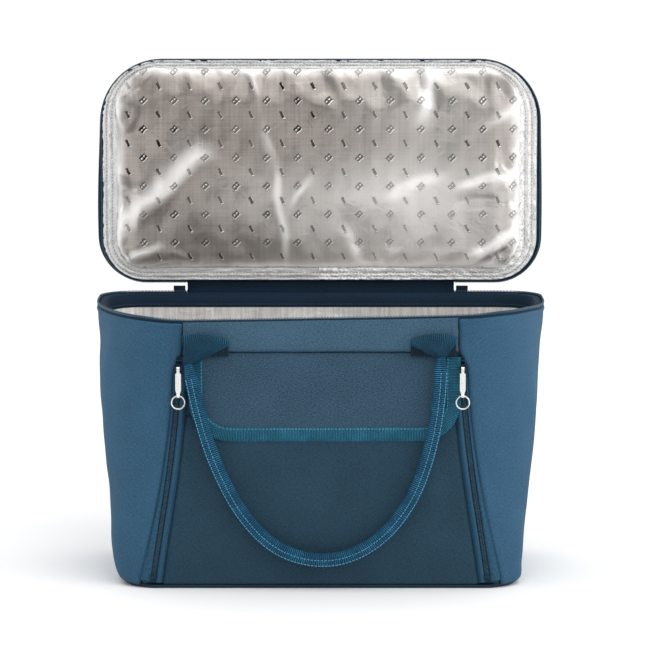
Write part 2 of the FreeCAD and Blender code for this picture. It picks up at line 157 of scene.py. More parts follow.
UP, FORWARD = (0, 0, 1), (0, -1, 0)
SIDES = ((1, "right"), (-1, "left"))


# ---- mesh helpers ----
def lengths(points):
    """Distance along a line of points, starting at zero."""
    steps = np.linalg.norm(np.diff(points, axis=0), axis=1)
    return np.concatenate([[0.0], np.cumsum(steps)])


def spaced(path, count, closed=False):
    """Evenly spaced points along a path. A closed path's last point, which repeats the first, is left out."""
    s = lengths(path)
    at = np.linspace(0, s[-1], count, endpoint=not closed)
    return np.stack([np.interp(at, s, path[:, k]) for k in range(path.shape[1])], axis=1)


def resample(path, spacing):
    path = np.asarray(path, float)
    return spaced(path, max(2, int(round(lengths(path)[-1] / spacing)) + 1))


def row_of(x, y, z):
    """Row of points. Each of x, y and z is an array or one number."""
    return np.column_stack(np.broadcast_arrays(x, y, z))


def unit(vectors):
    return vectors / np.linalg.norm(vectors, axis=1)[:, None]


def smooth(x):
    x = np.clip(x, 0, 1)
    return x * x * (3 - 2 * x)


def bell(x, width):
    return np.exp(-(x / width) ** 2)


def ripple(u, v, seed, wavelength, count=7):
    """Soft irregular waves of about one unit, the same on each run."""
    rng = np.random.default_rng(seed)
    total = np.zeros(np.broadcast(u, v).shape)
    for _ in range(count):
        turn, phase, size = rng.uniform(0, math.tau), rng.uniform(0, math.tau), rng.uniform(0.6, 1.7)
        across = u * math.cos(turn) + v * math.sin(turn)
        total += np.sin(math.tau * across / (wavelength * size) + phase)
    return total / math.sqrt(count)


def put_in_scene(name, data):
    made = bpy.data.objects.new(name, data)
    bpy.context.scene.collection.objects.link(made)
    return made


def set_uv(mesh, uv):
    """Store one UV for each vertex."""
    layer = mesh.uv_layers.get("UVMap") or mesh.uv_layers.new(name="UVMap")
    corner = np.zeros(len(mesh.loops), np.int32)
    mesh.loops.foreach_get("vertex_index", corner)
    layer.data.foreach_set("uv", np.asarray(uv, np.float32)[corner].ravel())


def shade_smooth(mesh):
    mesh.polygons.foreach_set("use_smooth", [True] * len(mesh.polygons))
    mesh.update()


def finish_piece(name, vertices, faces, uv, material, body, replaces):
    """One mesh object with its material, the body it rides on and the CAD nodes it stands for."""
    mesh = bpy.data.meshes.new(name)
    mesh.from_pydata([tuple(v) for v in vertices], [], faces)
    set_uv(mesh, uv)
    mesh.materials.append(material)
    shade_smooth(mesh)
    piece = put_in_scene(name, mesh)
    if replaces:
        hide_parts(*replaces)
    if body:
        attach(piece, body)
    return piece


def grid(name, points, material, body, replaces=(),
         thick=0.0, flip=False, wrap=False, uv=None, ends=False):
    """Surface through rows of points. Its UVs are distances along and across the rows, if none are given.
    wrap joins each row's last point to its first, and ends closes the first and last row.
    """
    points = np.asarray(points)
    rows, cols = points.shape[:2]
    if uv is None:
        across = np.array([lengths(row) for row in points])
        down = np.array([lengths(points[:, c]) for c in range(cols)]).T
        uv = np.stack([across, down], axis=2)
    faces = []
    for r in range(rows - 1):
        for c in range(cols if wrap else cols - 1):
            d = (c + 1) % cols
            quad = [r * cols + c, r * cols + d, (r + 1) * cols + d, (r + 1) * cols + c]
            faces.append(quad[::-1] if flip else quad)
    if ends:
        first = list(range(cols))
        last = [(rows - 1) * cols + c for c in range(cols)]
        faces.append(first if flip else first[::-1])
        faces.append(last[::-1] if flip else last)
    piece = finish_piece(name, points.reshape(-1, 3), faces, uv.reshape(-1, 2), material, body,
                         replaces)
    if thick:
        shell = piece.modifiers.new("thickness", "SOLIDIFY")
        shell.thickness = thick
        shell.offset = -1.0
    return piece


def soften(piece):
    """Smooth a coarse piece with one level of subdivision."""
    levels = piece.modifiers.new("smooth", "SUBSURF")
    levels.levels = levels.render_levels = 1
    return piece


def sweep(path, out, profile):
    """Rows of points: each row is the profile, (across, outward) pairs, set square to the path."""
    path = np.asarray(path, float)
    out = np.broadcast_to(np.asarray(out, float), path.shape)
    side = unit(np.cross(unit(np.gradient(path, axis=0)), out))
    profile = np.asarray(profile, float)
    if profile.ndim == 2:
        profile = np.tile(profile, (len(path), 1, 1))
    return path[:, None, :] + side[:, None, :] * profile[:, :, :1] + out[:, None, :] * profile[:, :, 1:]


def strip(name, path, out, profile, material, body, replaces=(), flip=False):
    """A closed profile swept along a path. Its UVs run in metres along it and round it."""
    rows = sweep(path, out, profile)
    uv = np.stack(np.meshgrid(lengths(rows.mean(axis=1)), lengths(rows[0]), indexing="ij"), axis=2)
    return grid(name, rows, material, body, replaces, wrap=True, flip=flip, uv=uv, ends=True)


def bead():
    """Small rounded lozenge of half size one, as vertices and faces."""
    rings, cols = (-0.92, -0.45, 0.45, 0.92), 6
    turn = [math.tau * k / cols for k in range(cols)]
    verts = [(-1.0, 0, 0)]
    for x in rings:
        r = (1 - abs(x) ** 3) ** 0.5
        verts += [(x, r * math.cos(a), r * math.sin(a)) for a in turn]
    verts.append((1.0, 0, 0))
    faces = [(0, 1 + (k + 1) % cols, 1 + k) for k in range(cols)]
    for ring in range(len(rings) - 1):
        a = 1 + ring * cols
        faces += [(a + k, a + (k + 1) % cols, a + cols + (k + 1) % cols, a + cols + k) for k in range(cols)]
    last, a = len(verts) - 1, 1 + (len(rings) - 1) * cols
    faces += [(last, a + k, a + (k + 1) % cols) for k in range(cols)]
    return np.array(verts), faces


BEAD = bead()


def beads(name, centres, along, out, half, material, body, replaces=()):
    """One mesh of many beads: each is long along one direction, and half gives its half sizes."""
    verts, faces = BEAD
    along = unit(np.broadcast_to(np.asarray(along, float), centres.shape))
    side = unit(np.cross(along, np.broadcast_to(np.asarray(out, float), centres.shape)))
    up = np.cross(side, along)
    axes = np.stack([along * half[0], side * half[1], up * half[2]], axis=1)
    points = centres[:, None, :] + np.einsum("vk,nkx->nvx", verts, axes)
    all_faces = [tuple(i + n * len(verts) for i in f) for n in range(len(centres)) for f in faces]
    flat = points.reshape(-1, 3)
    return finish_piece(name, flat, all_faces, flat[:, [0, 2]], material, body, replaces)


def stitch_row(name, path, out, pitch, half, material, body):
    """A row of stitches along a path, with a short gap between them."""
    points = resample(path, pitch)
    middles = (points[1:] + points[:-1]) / 2
    return beads(name, middles, points[1:] - points[:-1], out, half, material, body)


# ---- materials ----
def tone(code):
    """Linear colour from a hex code."""
    parts = [int(code[i:i + 2], 16) / 255 for i in (0, 2, 4)]
    return tuple((c / 12.92 if c <= 0.04045 else ((c + 0.055) / 1.055) ** 2.4) for c in parts) + (1.0,)


class Shader:
    """A material with one principled surface, and short names for the nodes that feed it."""

    def __init__(self, name):
        self.material = bpy.data.materials.new(name)
        self.material.use_nodes = True
        self.tree = self.material.node_tree
        self.tree.nodes.clear()
        self.surface = self.tree.nodes.new("ShaderNodeBsdfPrincipled")
        self.node("OutputMaterial", {"Surface": self.surface.outputs[0]})

    def put(self, socket, value):
        if isinstance(value, bpy.types.NodeSocket):
            self.tree.links.new(value, socket)
        else:
            socket.default_value = value

    def set(self, **values):
        for key, value in values.items():
            self.put(self.surface.inputs[key.replace("_", " ")], value)

    def node(self, kind, inputs, **settings):
        """Add a node with its settings, and a number or a link in each named input."""
        node = self.tree.nodes.new("ShaderNode" + kind)
        for key, value in settings.items():
            setattr(node, key, value)
        for key, value in inputs.items():
            self.put(node.inputs[key], value)
        return node.outputs

    def math(self, kind, a, b=0.0):
        return self.node("Math", {0: a, 1: b}, operation=kind)[0]

    def times(self, a, b):
        return self.math("MULTIPLY", a, b)

    def plus(self, total, *others):
        for other in others:
            total = self.math("ADD", total, other)
        return total

    def minus(self, a, b):
        return self.math("SUBTRACT", a, b)

    def size(self, a):
        return self.math("ABSOLUTE", a)

    def uv(self):
        return self.node("UVMap", {}, uv_map="UVMap")[0]

    def place(self):
        return self.node("TexCoord", {})["Object"]

    def split(self, vector):
        return self.node("SeparateXYZ", {0: vector})[:2]

    def noise(self, vector, scale, detail, rough=0.55, distort=0.0):
        return self.node("TexNoise", {"Vector": vector, "Scale": scale, "Detail": detail, "Roughness": rough,
                                      "Distortion": distort})[0]

    def streaks(self, vector, scale, *shape):
        """Noise with its own scale along each axis. shape is its detail, roughness and distortion."""
        return self.noise(self.node("Mapping", {"Vector": vector, "Scale": scale})[0], 1.0, *shape)

    def fade(self, value, low=0.3, high=0.7, to_low=0.0, to_high=1.0):
        return self.node("MapRange", {"Value": value, "From Min": low, "From Max": high, "To Min": to_low,
                                      "To Max": to_high}, interpolation_type="SMOOTHSTEP")[0]

    def mix(self, share, a, b):
        return self.node("Mix", {0: share, 6: a, 7: b}, data_type="RGBA")[2]

    def attribute(self, name):
        return self.node("Attribute", {}, attribute_name=name)["Fac"]

    def bump(self, height, distance, strength, under=None):
        inputs = {"Height": height, "Distance": distance, "Strength": strength}
        if under is not None:
            inputs["Normal"] = under
        return self.node("Bump", inputs)[0]


def woven(name, dark, light, pitch=0.00075, contrast=1.0, sheen=0.25):
    """Heathered polyester: a plain weave, uneven threads both ways and soft large patches."""
    s = Shader(name)
    uv = s.uv()
    u, v = s.split(uv)
    turn = math.tau / pitch
    weave = s.times(s.math("SINE", s.times(u, turn)), s.math("SINE", s.times(v, turn)))
    weft = s.streaks(uv, (420, 1900, 1), 2.0, 0.6)
    warp = s.streaks(uv, (1900, 420, 1), 2.0, 0.6)
    thread = s.times(s.plus(weft, warp), 0.5)
    fleck = s.noise(uv, 850.0, 2.0, 0.7)
    patch = s.noise(uv, 18.0, 4.0)
    half = 0.1 + 0.3 * (contrast - 1)
    yarn = s.plus(s.fade(thread, 0.36, 0.64), s.times(weave, 0.12 * contrast))
    heather = s.fade(fleck, 0.3, 0.7, 0.1 - half, 0.1 + half)
    amount = s.plus(s.times(yarn, 0.55), heather, s.times(s.fade(patch), 0.16))
    s.set(Base_Color=s.mix(amount, tone(dark), tone(light)), Roughness=s.fade(thread, 0.3, 0.7, 0.86, 0.7))
    s.set(Sheen_Weight=sheen, Sheen_Tint=tone(light), Sheen_Roughness=0.45, Specular_IOR_Level=0.25)
    fine = s.bump(thread, 0.00025, 0.7, s.bump(patch, 0.0006, 0.5))
    s.set(Normal=s.bump(weave, 0.00012, 0.6, fine))
    return s.material


def ribbed(name, dark, mid, light, pitch, rough=0.6):
    """Grosgrain or webbing: ribs at an even pitch with painted shade in their grooves, thread flecks, and
    painted highlights on rib tops here and there.
    """
    s = Shader(name)
    uv = s.uv()
    u, v = s.split(uv)
    wobble = s.times(s.noise(uv, 180.0, 2.0), 0.0006)
    wave = s.math("SINE", s.times(s.plus(u, wobble), math.tau / pitch))
    cross = s.math("SINE", s.times(v, math.tau / 0.0011))
    fleck = s.streaks(uv, (700, 1600, 1), 2.0, 0.7)
    patch = s.noise(uv, 60.0, 3.0)
    # Painted shade and highlight: the rib wave makes the colour dark in the grooves, and glints on rib tops
    # here and there are lightened towards the light tone.
    amount = s.plus(s.times(wave, 0.46), s.times(cross, 0.07), s.fade(fleck, 0.25, 0.75, 0.15, 0.75))
    colour = s.mix(amount, tone(dark), tone(mid))
    painted_glint = s.times(s.fade(wave, 0.35, 1.0), s.fade(s.plus(patch, fleck), 0.85, 1.25))
    colour = s.mix(s.times(painted_glint, 0.55), colour, tone(light))
    s.set(Base_Color=colour, Roughness=s.fade(fleck, 0.3, 0.7, rough + 0.1, rough - 0.1))
    s.set(Sheen_Weight=0.15, Sheen_Tint=tone(light), Sheen_Roughness=0.4, Specular_IOR_Level=0.25)
    fine = s.bump(fleck, 0.0002, 0.5)
    s.set(Normal=s.bump(s.plus(wave, s.times(cross, 0.25)), 0.0005, 0.9, fine))
    return s.material


def foil(name, low, high):
    """Aluminised film: drawn streaks, fine wrinkles, and an embossed lattice of plain marks with painted
    shade and painted highlights; the "bright" attribute paints highlights and reflections in near-white.
    """
    s = Shader(name)
    uv = s.uv()
    streak = s.streaks(uv, (420, 9, 1), 3.0, 0.65)
    cross = s.streaks(uv, (14, 700, 1), 2.0, 0.5)
    stripe = s.streaks(uv, (45, 2.5, 1), 1.0, 0.5)
    creases = s.noise(uv, 55.0, 5.0, 0.62, 1.2)
    blotch = s.noise(uv, 12.0, 3.0, 0.5)
    shade = s.plus(s.fade(streak, 0.3, 0.7, 0.0, 0.45), s.fade(stripe, 0.35, 0.65, 0.0, 0.2),
                   s.fade(cross, 0.3, 0.7, 0.0, 0.3))
    colour = s.mix(shade, tone(low), tone(high))
    roughness = s.plus(s.fade(blotch, 0.3, 0.7, 0.25, 0.4), s.fade(streak, 0.3, 0.7, 0.0, 0.06))
    normal = s.bump(streak, 0.00005, 0.4, s.bump(creases, 0.0014, 0.5))

    u, v = s.split(uv)
    row_at = s.math("DIVIDE", v, MARK_ROW)
    row = s.math("FLOOR", row_at)
    odd = s.math("MODULO", s.size(row), 2.0)
    down = s.times(s.minus(s.minus(row_at, row), 0.5), MARK_ROW)
    col_at = s.plus(s.math("DIVIDE", u, MARK_COLUMN), s.times(odd, 0.5))
    col = s.math("FLOOR", col_at)
    over = s.times(s.minus(s.minus(col_at, col), 0.5), MARK_COLUMN)
    over = s.plus(over, s.times(s.minus(s.noise(uv, 300.0, 2.0), 0.5), 0.0022))
    down = s.plus(down, s.times(s.minus(s.noise(uv, 380.0, 2.0), 0.5), 0.0022))
    pressed = embossed(s, over, down, odd)
    # Painted shade and highlight of the embossing: the mark is darkened towards near-black as painted shade
    # of varying strength, and a copy shifted to the lower right is whitened as a painted highlight; both also
    # bump the film.
    shifted = embossed(s, s.minus(over, 0.0008), s.plus(down, 0.0008), odd)
    painted_glint = s.times(shifted, s.minus(1.0, pressed))
    mark_shade = s.fade(s.noise(uv, 14.0, 2.0), 0.35, 0.65, 0.5, 1.0)
    colour = s.mix(s.times(pressed, mark_shade), colour, tone("1c1a18"))
    colour = s.mix(s.times(painted_glint, 0.8), colour, tone("fbf9f6"))
    roughness = s.plus(roughness, s.times(pressed, 0.15))
    normal = s.bump(s.minus(painted_glint, pressed), 0.0009, 1.0, normal)
    # Painted highlights and reflections: where the "bright" attribute is high, the foil is whitened and made
    # less metallic, in place of the lamps and floor that it would reflect.
    bright = s.attribute("bright")
    painted_highlight_share = s.times(bright, s.minus(1.0, s.times(pressed, 0.4)))
    s.set(Base_Color=s.mix(painted_highlight_share, colour, tone("fdfbf8")), Roughness=roughness, Normal=normal)
    s.set(Metallic=s.fade(bright, 0.0, 1.0, 0.92, 0.35))
    return s.material


def embossed(s, over, down, odd):
    """A pressed mark: two strokes joined by bars, leaning right. In odd rows it is slim and leans left."""
    right = s.minus(0.7, s.times(odd, 1.15))
    rise = s.plus(0.7, s.times(odd, 0.2))
    apart = s.minus(0.0016, s.times(odd, 0.0011))
    along = s.plus(s.times(over, right), s.times(down, rise))
    across = s.minus(s.times(over, rise), s.times(down, right))
    away = s.minus(s.size(across), apart)
    strokes = s.fade(s.size(away), 0.0005, 0.0009, 1.0, 0.0)
    bars = s.fade(s.math("COSINE", s.times(along, math.tau / 0.0030)), 0.3, 0.8)
    bars = s.times(bars, s.fade(away, 0.0, 0.0004, 1.0, 0.0))
    ends = s.fade(s.size(along), 0.0030, 0.0036, 1.0, 0.0)
    return s.times(s.math("MAXIMUM", strokes, bars), ends)


def lining(name, low, high):
    """Plain silver lining: soft wrinkles and fine upright streaks."""
    s = Shader(name)
    at = s.place()
    streak = s.streaks(at, (300, 300, 9), 3.0, 0.6)
    creases = s.noise(at, 50.0, 5.0, 0.62, 1.2)
    blotch = s.noise(at, 12.0, 3.0)
    s.set(Base_Color=s.mix(s.fade(streak), tone(low), tone(high)), Metallic=0.55)
    s.set(Roughness=s.fade(blotch, 0.3, 0.7, 0.37, 0.55))
    s.set(Normal=s.bump(streak, 0.0001, 0.4, s.bump(creases, 0.0020, 0.6)))
    return s.material


def crinkled(name):
    """Silver binding: the same film, crushed by the stitching, with painted shade and painted highlights in
    its crinkles.
    """
    s = Shader(name)
    uv = s.uv()
    crush = s.noise(uv, 330.0, 5.0, 0.7, 1.5)
    fold = s.streaks(uv, (160, 60, 1), 4.0, 0.6, 0.6)
    # Painted shade and highlight: the crush noise that bumps the film also sets its colour, grey in the
    # hollows and white on the tops.
    colour = s.mix(s.fade(crush, 0.33, 0.52), tone("8f8b88"), tone("ffffff"))
    normal = s.bump(fold, 0.0012, 0.7)
    s.set(Base_Color=colour, Metallic=0.15, Roughness=s.fade(crush, 0.3, 0.7, 0.5, 0.28))
    s.set(Normal=s.bump(crush, 0.0007, 0.9, normal))
    return s.material


def plastic(name, dark, light, rough=0.42):
    """Nylon coil or thread: smooth, with small tone changes along it."""
    s = Shader(name)
    at = s.uv()
    grain = s.noise(at, 700.0, 2.0)
    patch = s.noise(at, 90.0, 2.0)
    colour = s.mix(s.plus(s.times(grain, 0.5), s.times(patch, 0.5)), tone(dark), tone(light))
    s.set(Base_Color=colour, Roughness=s.fade(grain, 0.3, 0.7, rough - 0.08, rough + 0.1))
    s.set(Normal=s.bump(grain, 0.0001, 0.4))
    return s.material


def metal(name, bright, worn, rough=0.12):
    """Plated or painted zinc, with faint polishing marks and specks of wear."""
    s = Shader(name)
    at = s.place()
    polish = s.streaks(at, (300, 300, 2600), 2.0)
    wear = s.noise(at, 900.0, 4.0, 0.6)
    colour = s.mix(s.fade(wear, 0.55, 0.8), tone(bright), tone(worn))
    s.set(Base_Color=colour, Metallic=1.0, Roughness=s.fade(wear, 0.3, 0.75, rough, rough + 0.2))
    s.set(Normal=s.bump(polish, 0.00004, 0.4))
    return s.material


def foamy(name, dark, light):
    """Foam or board: an open grain with soft patches."""
    s = Shader(name)
    at = s.place()
    cell = s.noise(at, 1400.0, 2.0, 0.6)
    patch = s.noise(at, 40.0, 3.0)
    s.set(Base_Color=s.mix(s.times(s.plus(cell, patch), 0.5), tone(dark), tone(light)))
    s.set(Roughness=0.9, Normal=s.bump(cell, 0.0003, 0.7))
    return s.material


SIDE_FABRIC = woven("side_fabric", "1e435a", "406a89")
FOLD_FABRIC = woven("fold_fabric", "183c53", "34607c")
TRAY_FABRIC = woven("tray_fabric", "182a3a", "2b4459")
# Painted light and shade: the pocket, the flap and the band are one cloth in three tones, the band lightest
# where it faces the light from above and the pocket darkest in the shade under the flap and the handle.
SHADED_POCKET_FABRIC = woven("pocket_fabric", "162c3a", "2c4e63", contrast=1.4)
FLAP_FABRIC = woven("flap_fabric", "213747", "3f5f76", contrast=1.8)
LIT_BAND_FABRIC = woven("lit_band_fabric", "274153", "4b6e86", contrast=1.4)
NAVY_FABRIC = woven("navy_fabric", "06192a", "113149", pitch=0.0009, sheen=0.05)
WEBBING = ribbed("webbing", "021a27", "084d6b", "2584ab", 0.0017)
# Painted shade: a darker copy of the webbing for the part of each fan that rises in the shade under the band.
SHADED_WEB = ribbed("shaded_webbing", "041620", "0d3347", "1d5a76", 0.0017)
GRIP_WEB = ribbed("grip_webbing", "022133", "0e5a80", "45b4e8", 0.0018)
BINDING = ribbed("binding", "0c3c50", "21728f", "4ebde8", 0.0014)
TAPE = ribbed("zip_tape", "12293b", "2a506b", "437492", 0.0011, rough=0.75)
COIL = plastic("zip_coil", "142a3b", "41697f")
THREAD = plastic("thread", "2f82a6", "7cc3de", 0.5)
NAVY_THREAD = plastic("navy_thread", "16293a", "33526c", 0.6)
SILVER_THREAD = plastic("silver_thread", "6d6a67", "c8c5c1", 0.5)
LID_FOIL = foil("lid_foil", "8b847f", "aba39e")
TUB_FOIL = lining("tub_foil", "d2d0ce", "f0eeec")
SILVER_EDGE = crinkled("silver_edge")
CHROME = metal("chrome", "e4e4e2", "9d9c98")
SLIDER_METAL = metal("slider_paint", "2a3c4c", "56646f", 0.35)
FOAM = foamy("foam", "c9c9c4", "ecece8")
BOARD = foamy("board", "8a7a62", "b5a488")


# ---- the plan of the bag ----
def half_width(side, z):
    """One side's half width at height z: a taper that is drawn in on the right and full on the left."""
    t = z / RIM_Z
    width = BASE_HALF_W + (RIM_HALF_W - BASE_HALF_W) * t
    middle = smooth(z / 0.02) * smooth((RIM_Z - z) / 0.05)
    if side > 0:
        return width - (SIDE_TUCK + RIGHT_TUCK * smooth((0.24 - z) / 0.20)) * middle
    return width + (SIDE_SWELL + LEFT_BULGE * bell(z - 0.032, 0.035)) * middle


def roll_inset(z):
    """How far the bottom edge has rolled in at height z."""
    if z >= ROLL:
        return 0.0
    return ROLL - math.sqrt(ROLL ** 2 - (ROLL - z) ** 2)


def plan_half(side, z, inset=0.0):
    """One side's outline from the middle of the front to that of the back, and where its front corner ends.
    x is never negative, whichever side it is.
    """
    t = z / RIM_Z
    rolled = roll_inset(z)
    front_d = RIM_HALF_D - inset - rolled * FRONT_ROLL / ROLL
    inset = inset + rolled
    w = half_width(side, z) - inset
    d = BASE_HALF_D + (RIM_HALF_D - BASE_HALF_D) * t - inset
    a = max(BASE_R + (SWEEP_W - BASE_R) * t - inset, 0.004)
    b = max(BASE_R + (SWEEP_D - BASE_R) * t * t - inset, 0.004)
    r = max(BASE_R + (REAR_R - BASE_R) * t - inset, 0.004)
    turn = np.linspace(-math.pi / 2, 0, 61)
    front = np.stack([w - a + a * np.cos(turn), b - front_d + b * np.sin(turn)], axis=1)
    turn = np.linspace(0, math.pi / 2, 41)
    rear = np.stack([w - r + r * np.cos(turn), d - r + r * np.sin(turn)], axis=1)
    return np.concatenate([[[0.0, -front_d]], front, rear, [[0.0, d]]]), len(front) + 1


def rim_lift(x, y):
    """The front of the mouth isn't quite level."""
    at = [-0.207, -0.160, -0.120, -0.060, 0.0, 0.060, 0.119, 0.158, 0.190, 0.207]
    lift = [0.0010, 0.0, -0.0020, -0.0012, 0.0, 0.0008, 0.0022, 0.0040, 0.0034, 0.0018]
    return RIM_RISE + np.interp(x, at, lift) * smooth((0.02 - y) / 0.09)


def mouth_lift(x, y, z, start=0.17):
    """The same lift, fading out below the mouth down to a starting height."""
    return rim_lift(x, y) * smooth((z - start) / (RIM_Z - start))


def ring(z, inset, count):
    """Closed outline at height z, from the middle of the back round by the right, front and left."""
    right, _ = plan_half(1, z, inset)
    left, _ = plan_half(-1, z, inset)
    return spaced(np.concatenate([right[::-1], (left * [-1, 1])[1:]]), count, closed=True)


def ring_rows(levels, count):
    """Rows of closed outlines for (z, inset) pairs, lifted near the mouth."""
    rows = []
    for z, inset in levels:
        x, y = ring(z, inset, count).T
        rows.append(row_of(x, y, z + mouth_lift(x, y, z, 0.19)))
    return np.array(rows)


def zip_x(z):
    """Centre line of a pocket zip: nearly straight, bowed towards the middle."""
    share = (z - ZIP_LOW) / (ZIP_HIGH - ZIP_LOW)
    line = ZIP_X_LOW + (ZIP_X_HIGH - ZIP_X_LOW) * share
    return line - ZIP_BOW * np.sin(math.pi * np.clip(share, 0, 1) ** 1.35)


def outer_rib(z):
    """Width of the folded gusset between the zip and the side fabric. It grows towards the floor."""
    f = np.clip(1 - z / 0.2, 0, 1)
    return 0.0010 + 0.0020 * f + 0.0052 * f ** 3


def seam_x(z):
    """Where the side fabric ends in front: beside the zip's fold, and at its own seam above the zip."""
    low = zip_x(min(z, ZIP_HIGH)) + TAPE_HALF + outer_rib(z) + 0.0008
    share = smooth((z - 0.193) / 0.021)
    return low * (1 - share) + SEAM_X * share


# ---- walls ----
def wall_heights(count):
    """Heights of the rows, closer together at both edges."""
    t = np.linspace(0, 1, count)
    return TRAY_Z + (WALL_TOP - TRAY_Z) * (t - 0.09 * np.sin(math.tau * t))


def tray_seam(z):
    """The wall dips at the seam with the base tray and is full just above it."""
    return 0.0004 * bell(z - TRAY_Z - 0.003, 0.0016) - 0.0010 * bell(z - TRAY_Z, 0.0012)


def top_tuck(z):
    """The wall's top edge tucks in behind the zip tape."""
    return 0.0016 * smooth((z - WALL_TOP + 0.0016) / 0.0016)


def ends_calm(z):
    """Sagging fades out at the floor and at the mouth."""
    return smooth(z / 0.03) * smooth((RIM_Z - z) / 0.04)


def side_push(side, z, at, from_front, from_rear):
    """How far the side fabric stands out from the plan at one height, by the distance along it."""
    lip = max(TAPE_Y - 0.0002 - RIM_HALF_D, 0.0) * smooth((0.222 - z) / 0.03)
    push = lip * (1 - smooth(from_front / 0.055))
    push = push - 0.0014 * bell(from_front, 0.0010) - 0.0012 * bell(from_rear, 0.0012)
    push = push + 0.0005 * bell(from_front - 0.004, 0.0028) + 0.0004 * bell(from_rear - 0.003, 0.002)
    calm = smooth(from_front / 0.03) * smooth(from_rear / 0.02) * ends_calm(z)
    sag = 0.0011 * ripple(at, z * 0.8, 11 + side, 0.12) + 0.0004 * ripple(at, z, 31 + side, 0.045)
    upright = 0.0014 * bell(from_front - 0.062 - 0.10 * z, 0.012) * smooth((z - 0.03) / 0.08)
    ridge = 0.0009 * bell(z - (RIM_Z - 0.0052), 0.0018)
    folds = 0.0009 * (bell(z - 0.2275, 0.0018) + bell(z - 0.2215, 0.0022)) * bell(from_front - 0.085, 0.05)
    return push + calm * (sag + upright) + ridge + folds + tray_seam(z) - top_tuck(z)


def side_wall(side, name, replaces):
    """Side fabric from the pocket zip round the corner to the rear seam, as one sagging sheet."""
    rows = []
    columns = np.linspace(0, 1, 130)
    columns = columns - 0.04 * np.sin(math.tau * columns)
    for z in wall_heights(72):
        line, corner = plan_half(side, z)
        s = lengths(line)
        start = np.interp(seam_x(z), line[:corner, 0], s[:corner])
        end = np.interp(REAR_SEAM_X, line[corner:, 0][::-1], s[corner:][::-1])
        at = start + (end - start) * columns
        x, y = (np.interp(at, s, line[:, k]) for k in (0, 1))
        along = unit(np.gradient(np.stack([x, y], axis=1), axis=0))
        push = side_push(side, z, at, at - start, end - at)
        x, y = (x + along[:, 1] * push) * side, y - along[:, 0] * push
        rows.append(row_of(x, y, z + mouth_lift(x, y, z)))
    grid(name, rows, SIDE_FABRIC, "bag", replaces, thick=FABRIC, flip=side < 0)


def flat_wall(name, back, material, replaces):
    """The rear panel between its seams, or the front panel behind the pocket."""
    rows = []
    columns = np.linspace(-1, 1, 90)
    for z in wall_heights(64):
        edge = REAR_SEAM_X if back else seam_x(z) - 0.001
        x = columns * edge
        to_edge = edge - np.abs(x)
        y = -0.0012 * bell(to_edge, 0.0012) + 0.0004 * bell(to_edge - 0.003, 0.002) + tray_seam(z)
        if back:
            slack = 0.0012 + 0.0010 * ripple(x, z, 5, 0.11) + 0.0004 * ripple(x, z, 6, 0.05)
            y = y + smooth(to_edge / 0.03) * ends_calm(z) * np.maximum(slack, -0.0002) - top_tuck(z)
            y = y + BASE_HALF_D + (RIM_HALF_D - BASE_HALF_D) * z / RIM_Z - roll_inset(z)
        else:
            y = -(y + FRONT_Y)
        rows.append(row_of(x, y, z + mouth_lift(x, y, z)))
    grid(name, rows, material, "bag", replaces, thick=FABRIC, flip=back)


def base_tray():
    """Rolled bottom edge and the floor of the bag, in one piece."""
    rolled = [(TRAY_Z + 0.0004, -0.0002), (0.0024, -0.0004), (0.0016, 0.0), (0.0010, 0.0), (0.0005, 0.0),
              (0.0002, 0.0)]
    rows = list(ring_rows(rolled, 300))
    for row in rows:
        lip = smooth((0.160 - np.abs(row[:, 0])) / 0.012) * (row[:, 1] < 0)
        row[:, 1] -= 0.0026 * lip
    rim = rows[-1]
    for share in (0.97, 0.9, 0.7, 0.4, 0.1):
        rows.append(row_of(rim[:, 0] * share, rim[:, 1] * share, 0.0003))
    grid("base_tray", rows, TRAY_FABRIC, "bag", ["base_panel"], wrap=True, flip=True)
    loop = ring_rows([(TRAY_Z + 0.0022, -0.0002)], 460)[0]
    loop = loop[(loop[:, 1] > -0.09)]
    loop = loop[np.argsort((order_round(loop) + math.pi) % math.tau)]
    stitch_row("base_stitches", loop, UP, 0.0034, (0.0013, 0.0003, 0.0003), NAVY_THREAD, "bag")


def mouth():
    """Inner band, outer zip tape and the coil that stands up round the mouth."""
    band_profile = [(0.2362, 0.0014), (0.2376, 0.0014), (0.2387, 0.0022), (0.2390, 0.0045), (0.2386, 0.0070),
                    (0.2370, 0.0084), (0.2320, 0.0088), (0.2270, 0.0087), (0.2262, 0.0084), (0.2266, 0.0079)]
    grid("inner_band", ring_rows(band_profile, 420), NAVY_FABRIC, "bag", ["rim_band"],
         wrap=True, flip=True)
    line = ring_rows([(0.2290, 0.0090)], 520)[0]
    stitch_row("inner_band_stitches", np.concatenate([line, line[:1]]), UP, 0.0034,
               (0.0013, 0.00035, 0.00035), NAVY_THREAD, "bag")
    tape_profile = [(0.2358, 0.0004), (0.2385, 0.0002), (0.2396, 0.0003), (0.2398, 0.0008), (0.2390, 0.0011),
                    (0.2358, 0.0012)]
    rows = ring_rows(tape_profile, 420)
    keep = outside_hinge(rows[0])
    rows = np.roll(rows, -keep[0], axis=1)[:, :len(keep)]
    grid("mouth_zip_tape", rows, NAVY_FABRIC, "bag", ["rim_zip_lower_tape"], flip=True)
    centre = ring_rows([(0.2399, 0.0004)], 2400)[0]
    centre = resample(centre[outside_hinge(centre)], TOOTH_PITCH)
    along = np.gradient(centre, axis=0)
    out = row_of(-along[:, 1], along[:, 0], 0.0)
    beads("mouth_zip_coil", centre, UP, out, (0.0013, 0.00045, 0.0010), COIL, "bag",
          ["rim_zip_lower_teeth"])


def order_round(points):
    """Angle round the bag, starting behind it."""
    angle = np.arctan2(points[:, 0], points[:, 1])
    return np.where(angle < 0, angle + math.tau, angle)


def outside_hinge(points):
    """Indices of a closed outline's points that aren't on the hinge, in order round the bag."""
    on_hinge = (points[:, 1] > 0.09) & (np.abs(points[:, 0]) < HINGE_HALF)
    order = np.argsort(order_round(points))
    return order[~on_hinge[order]]


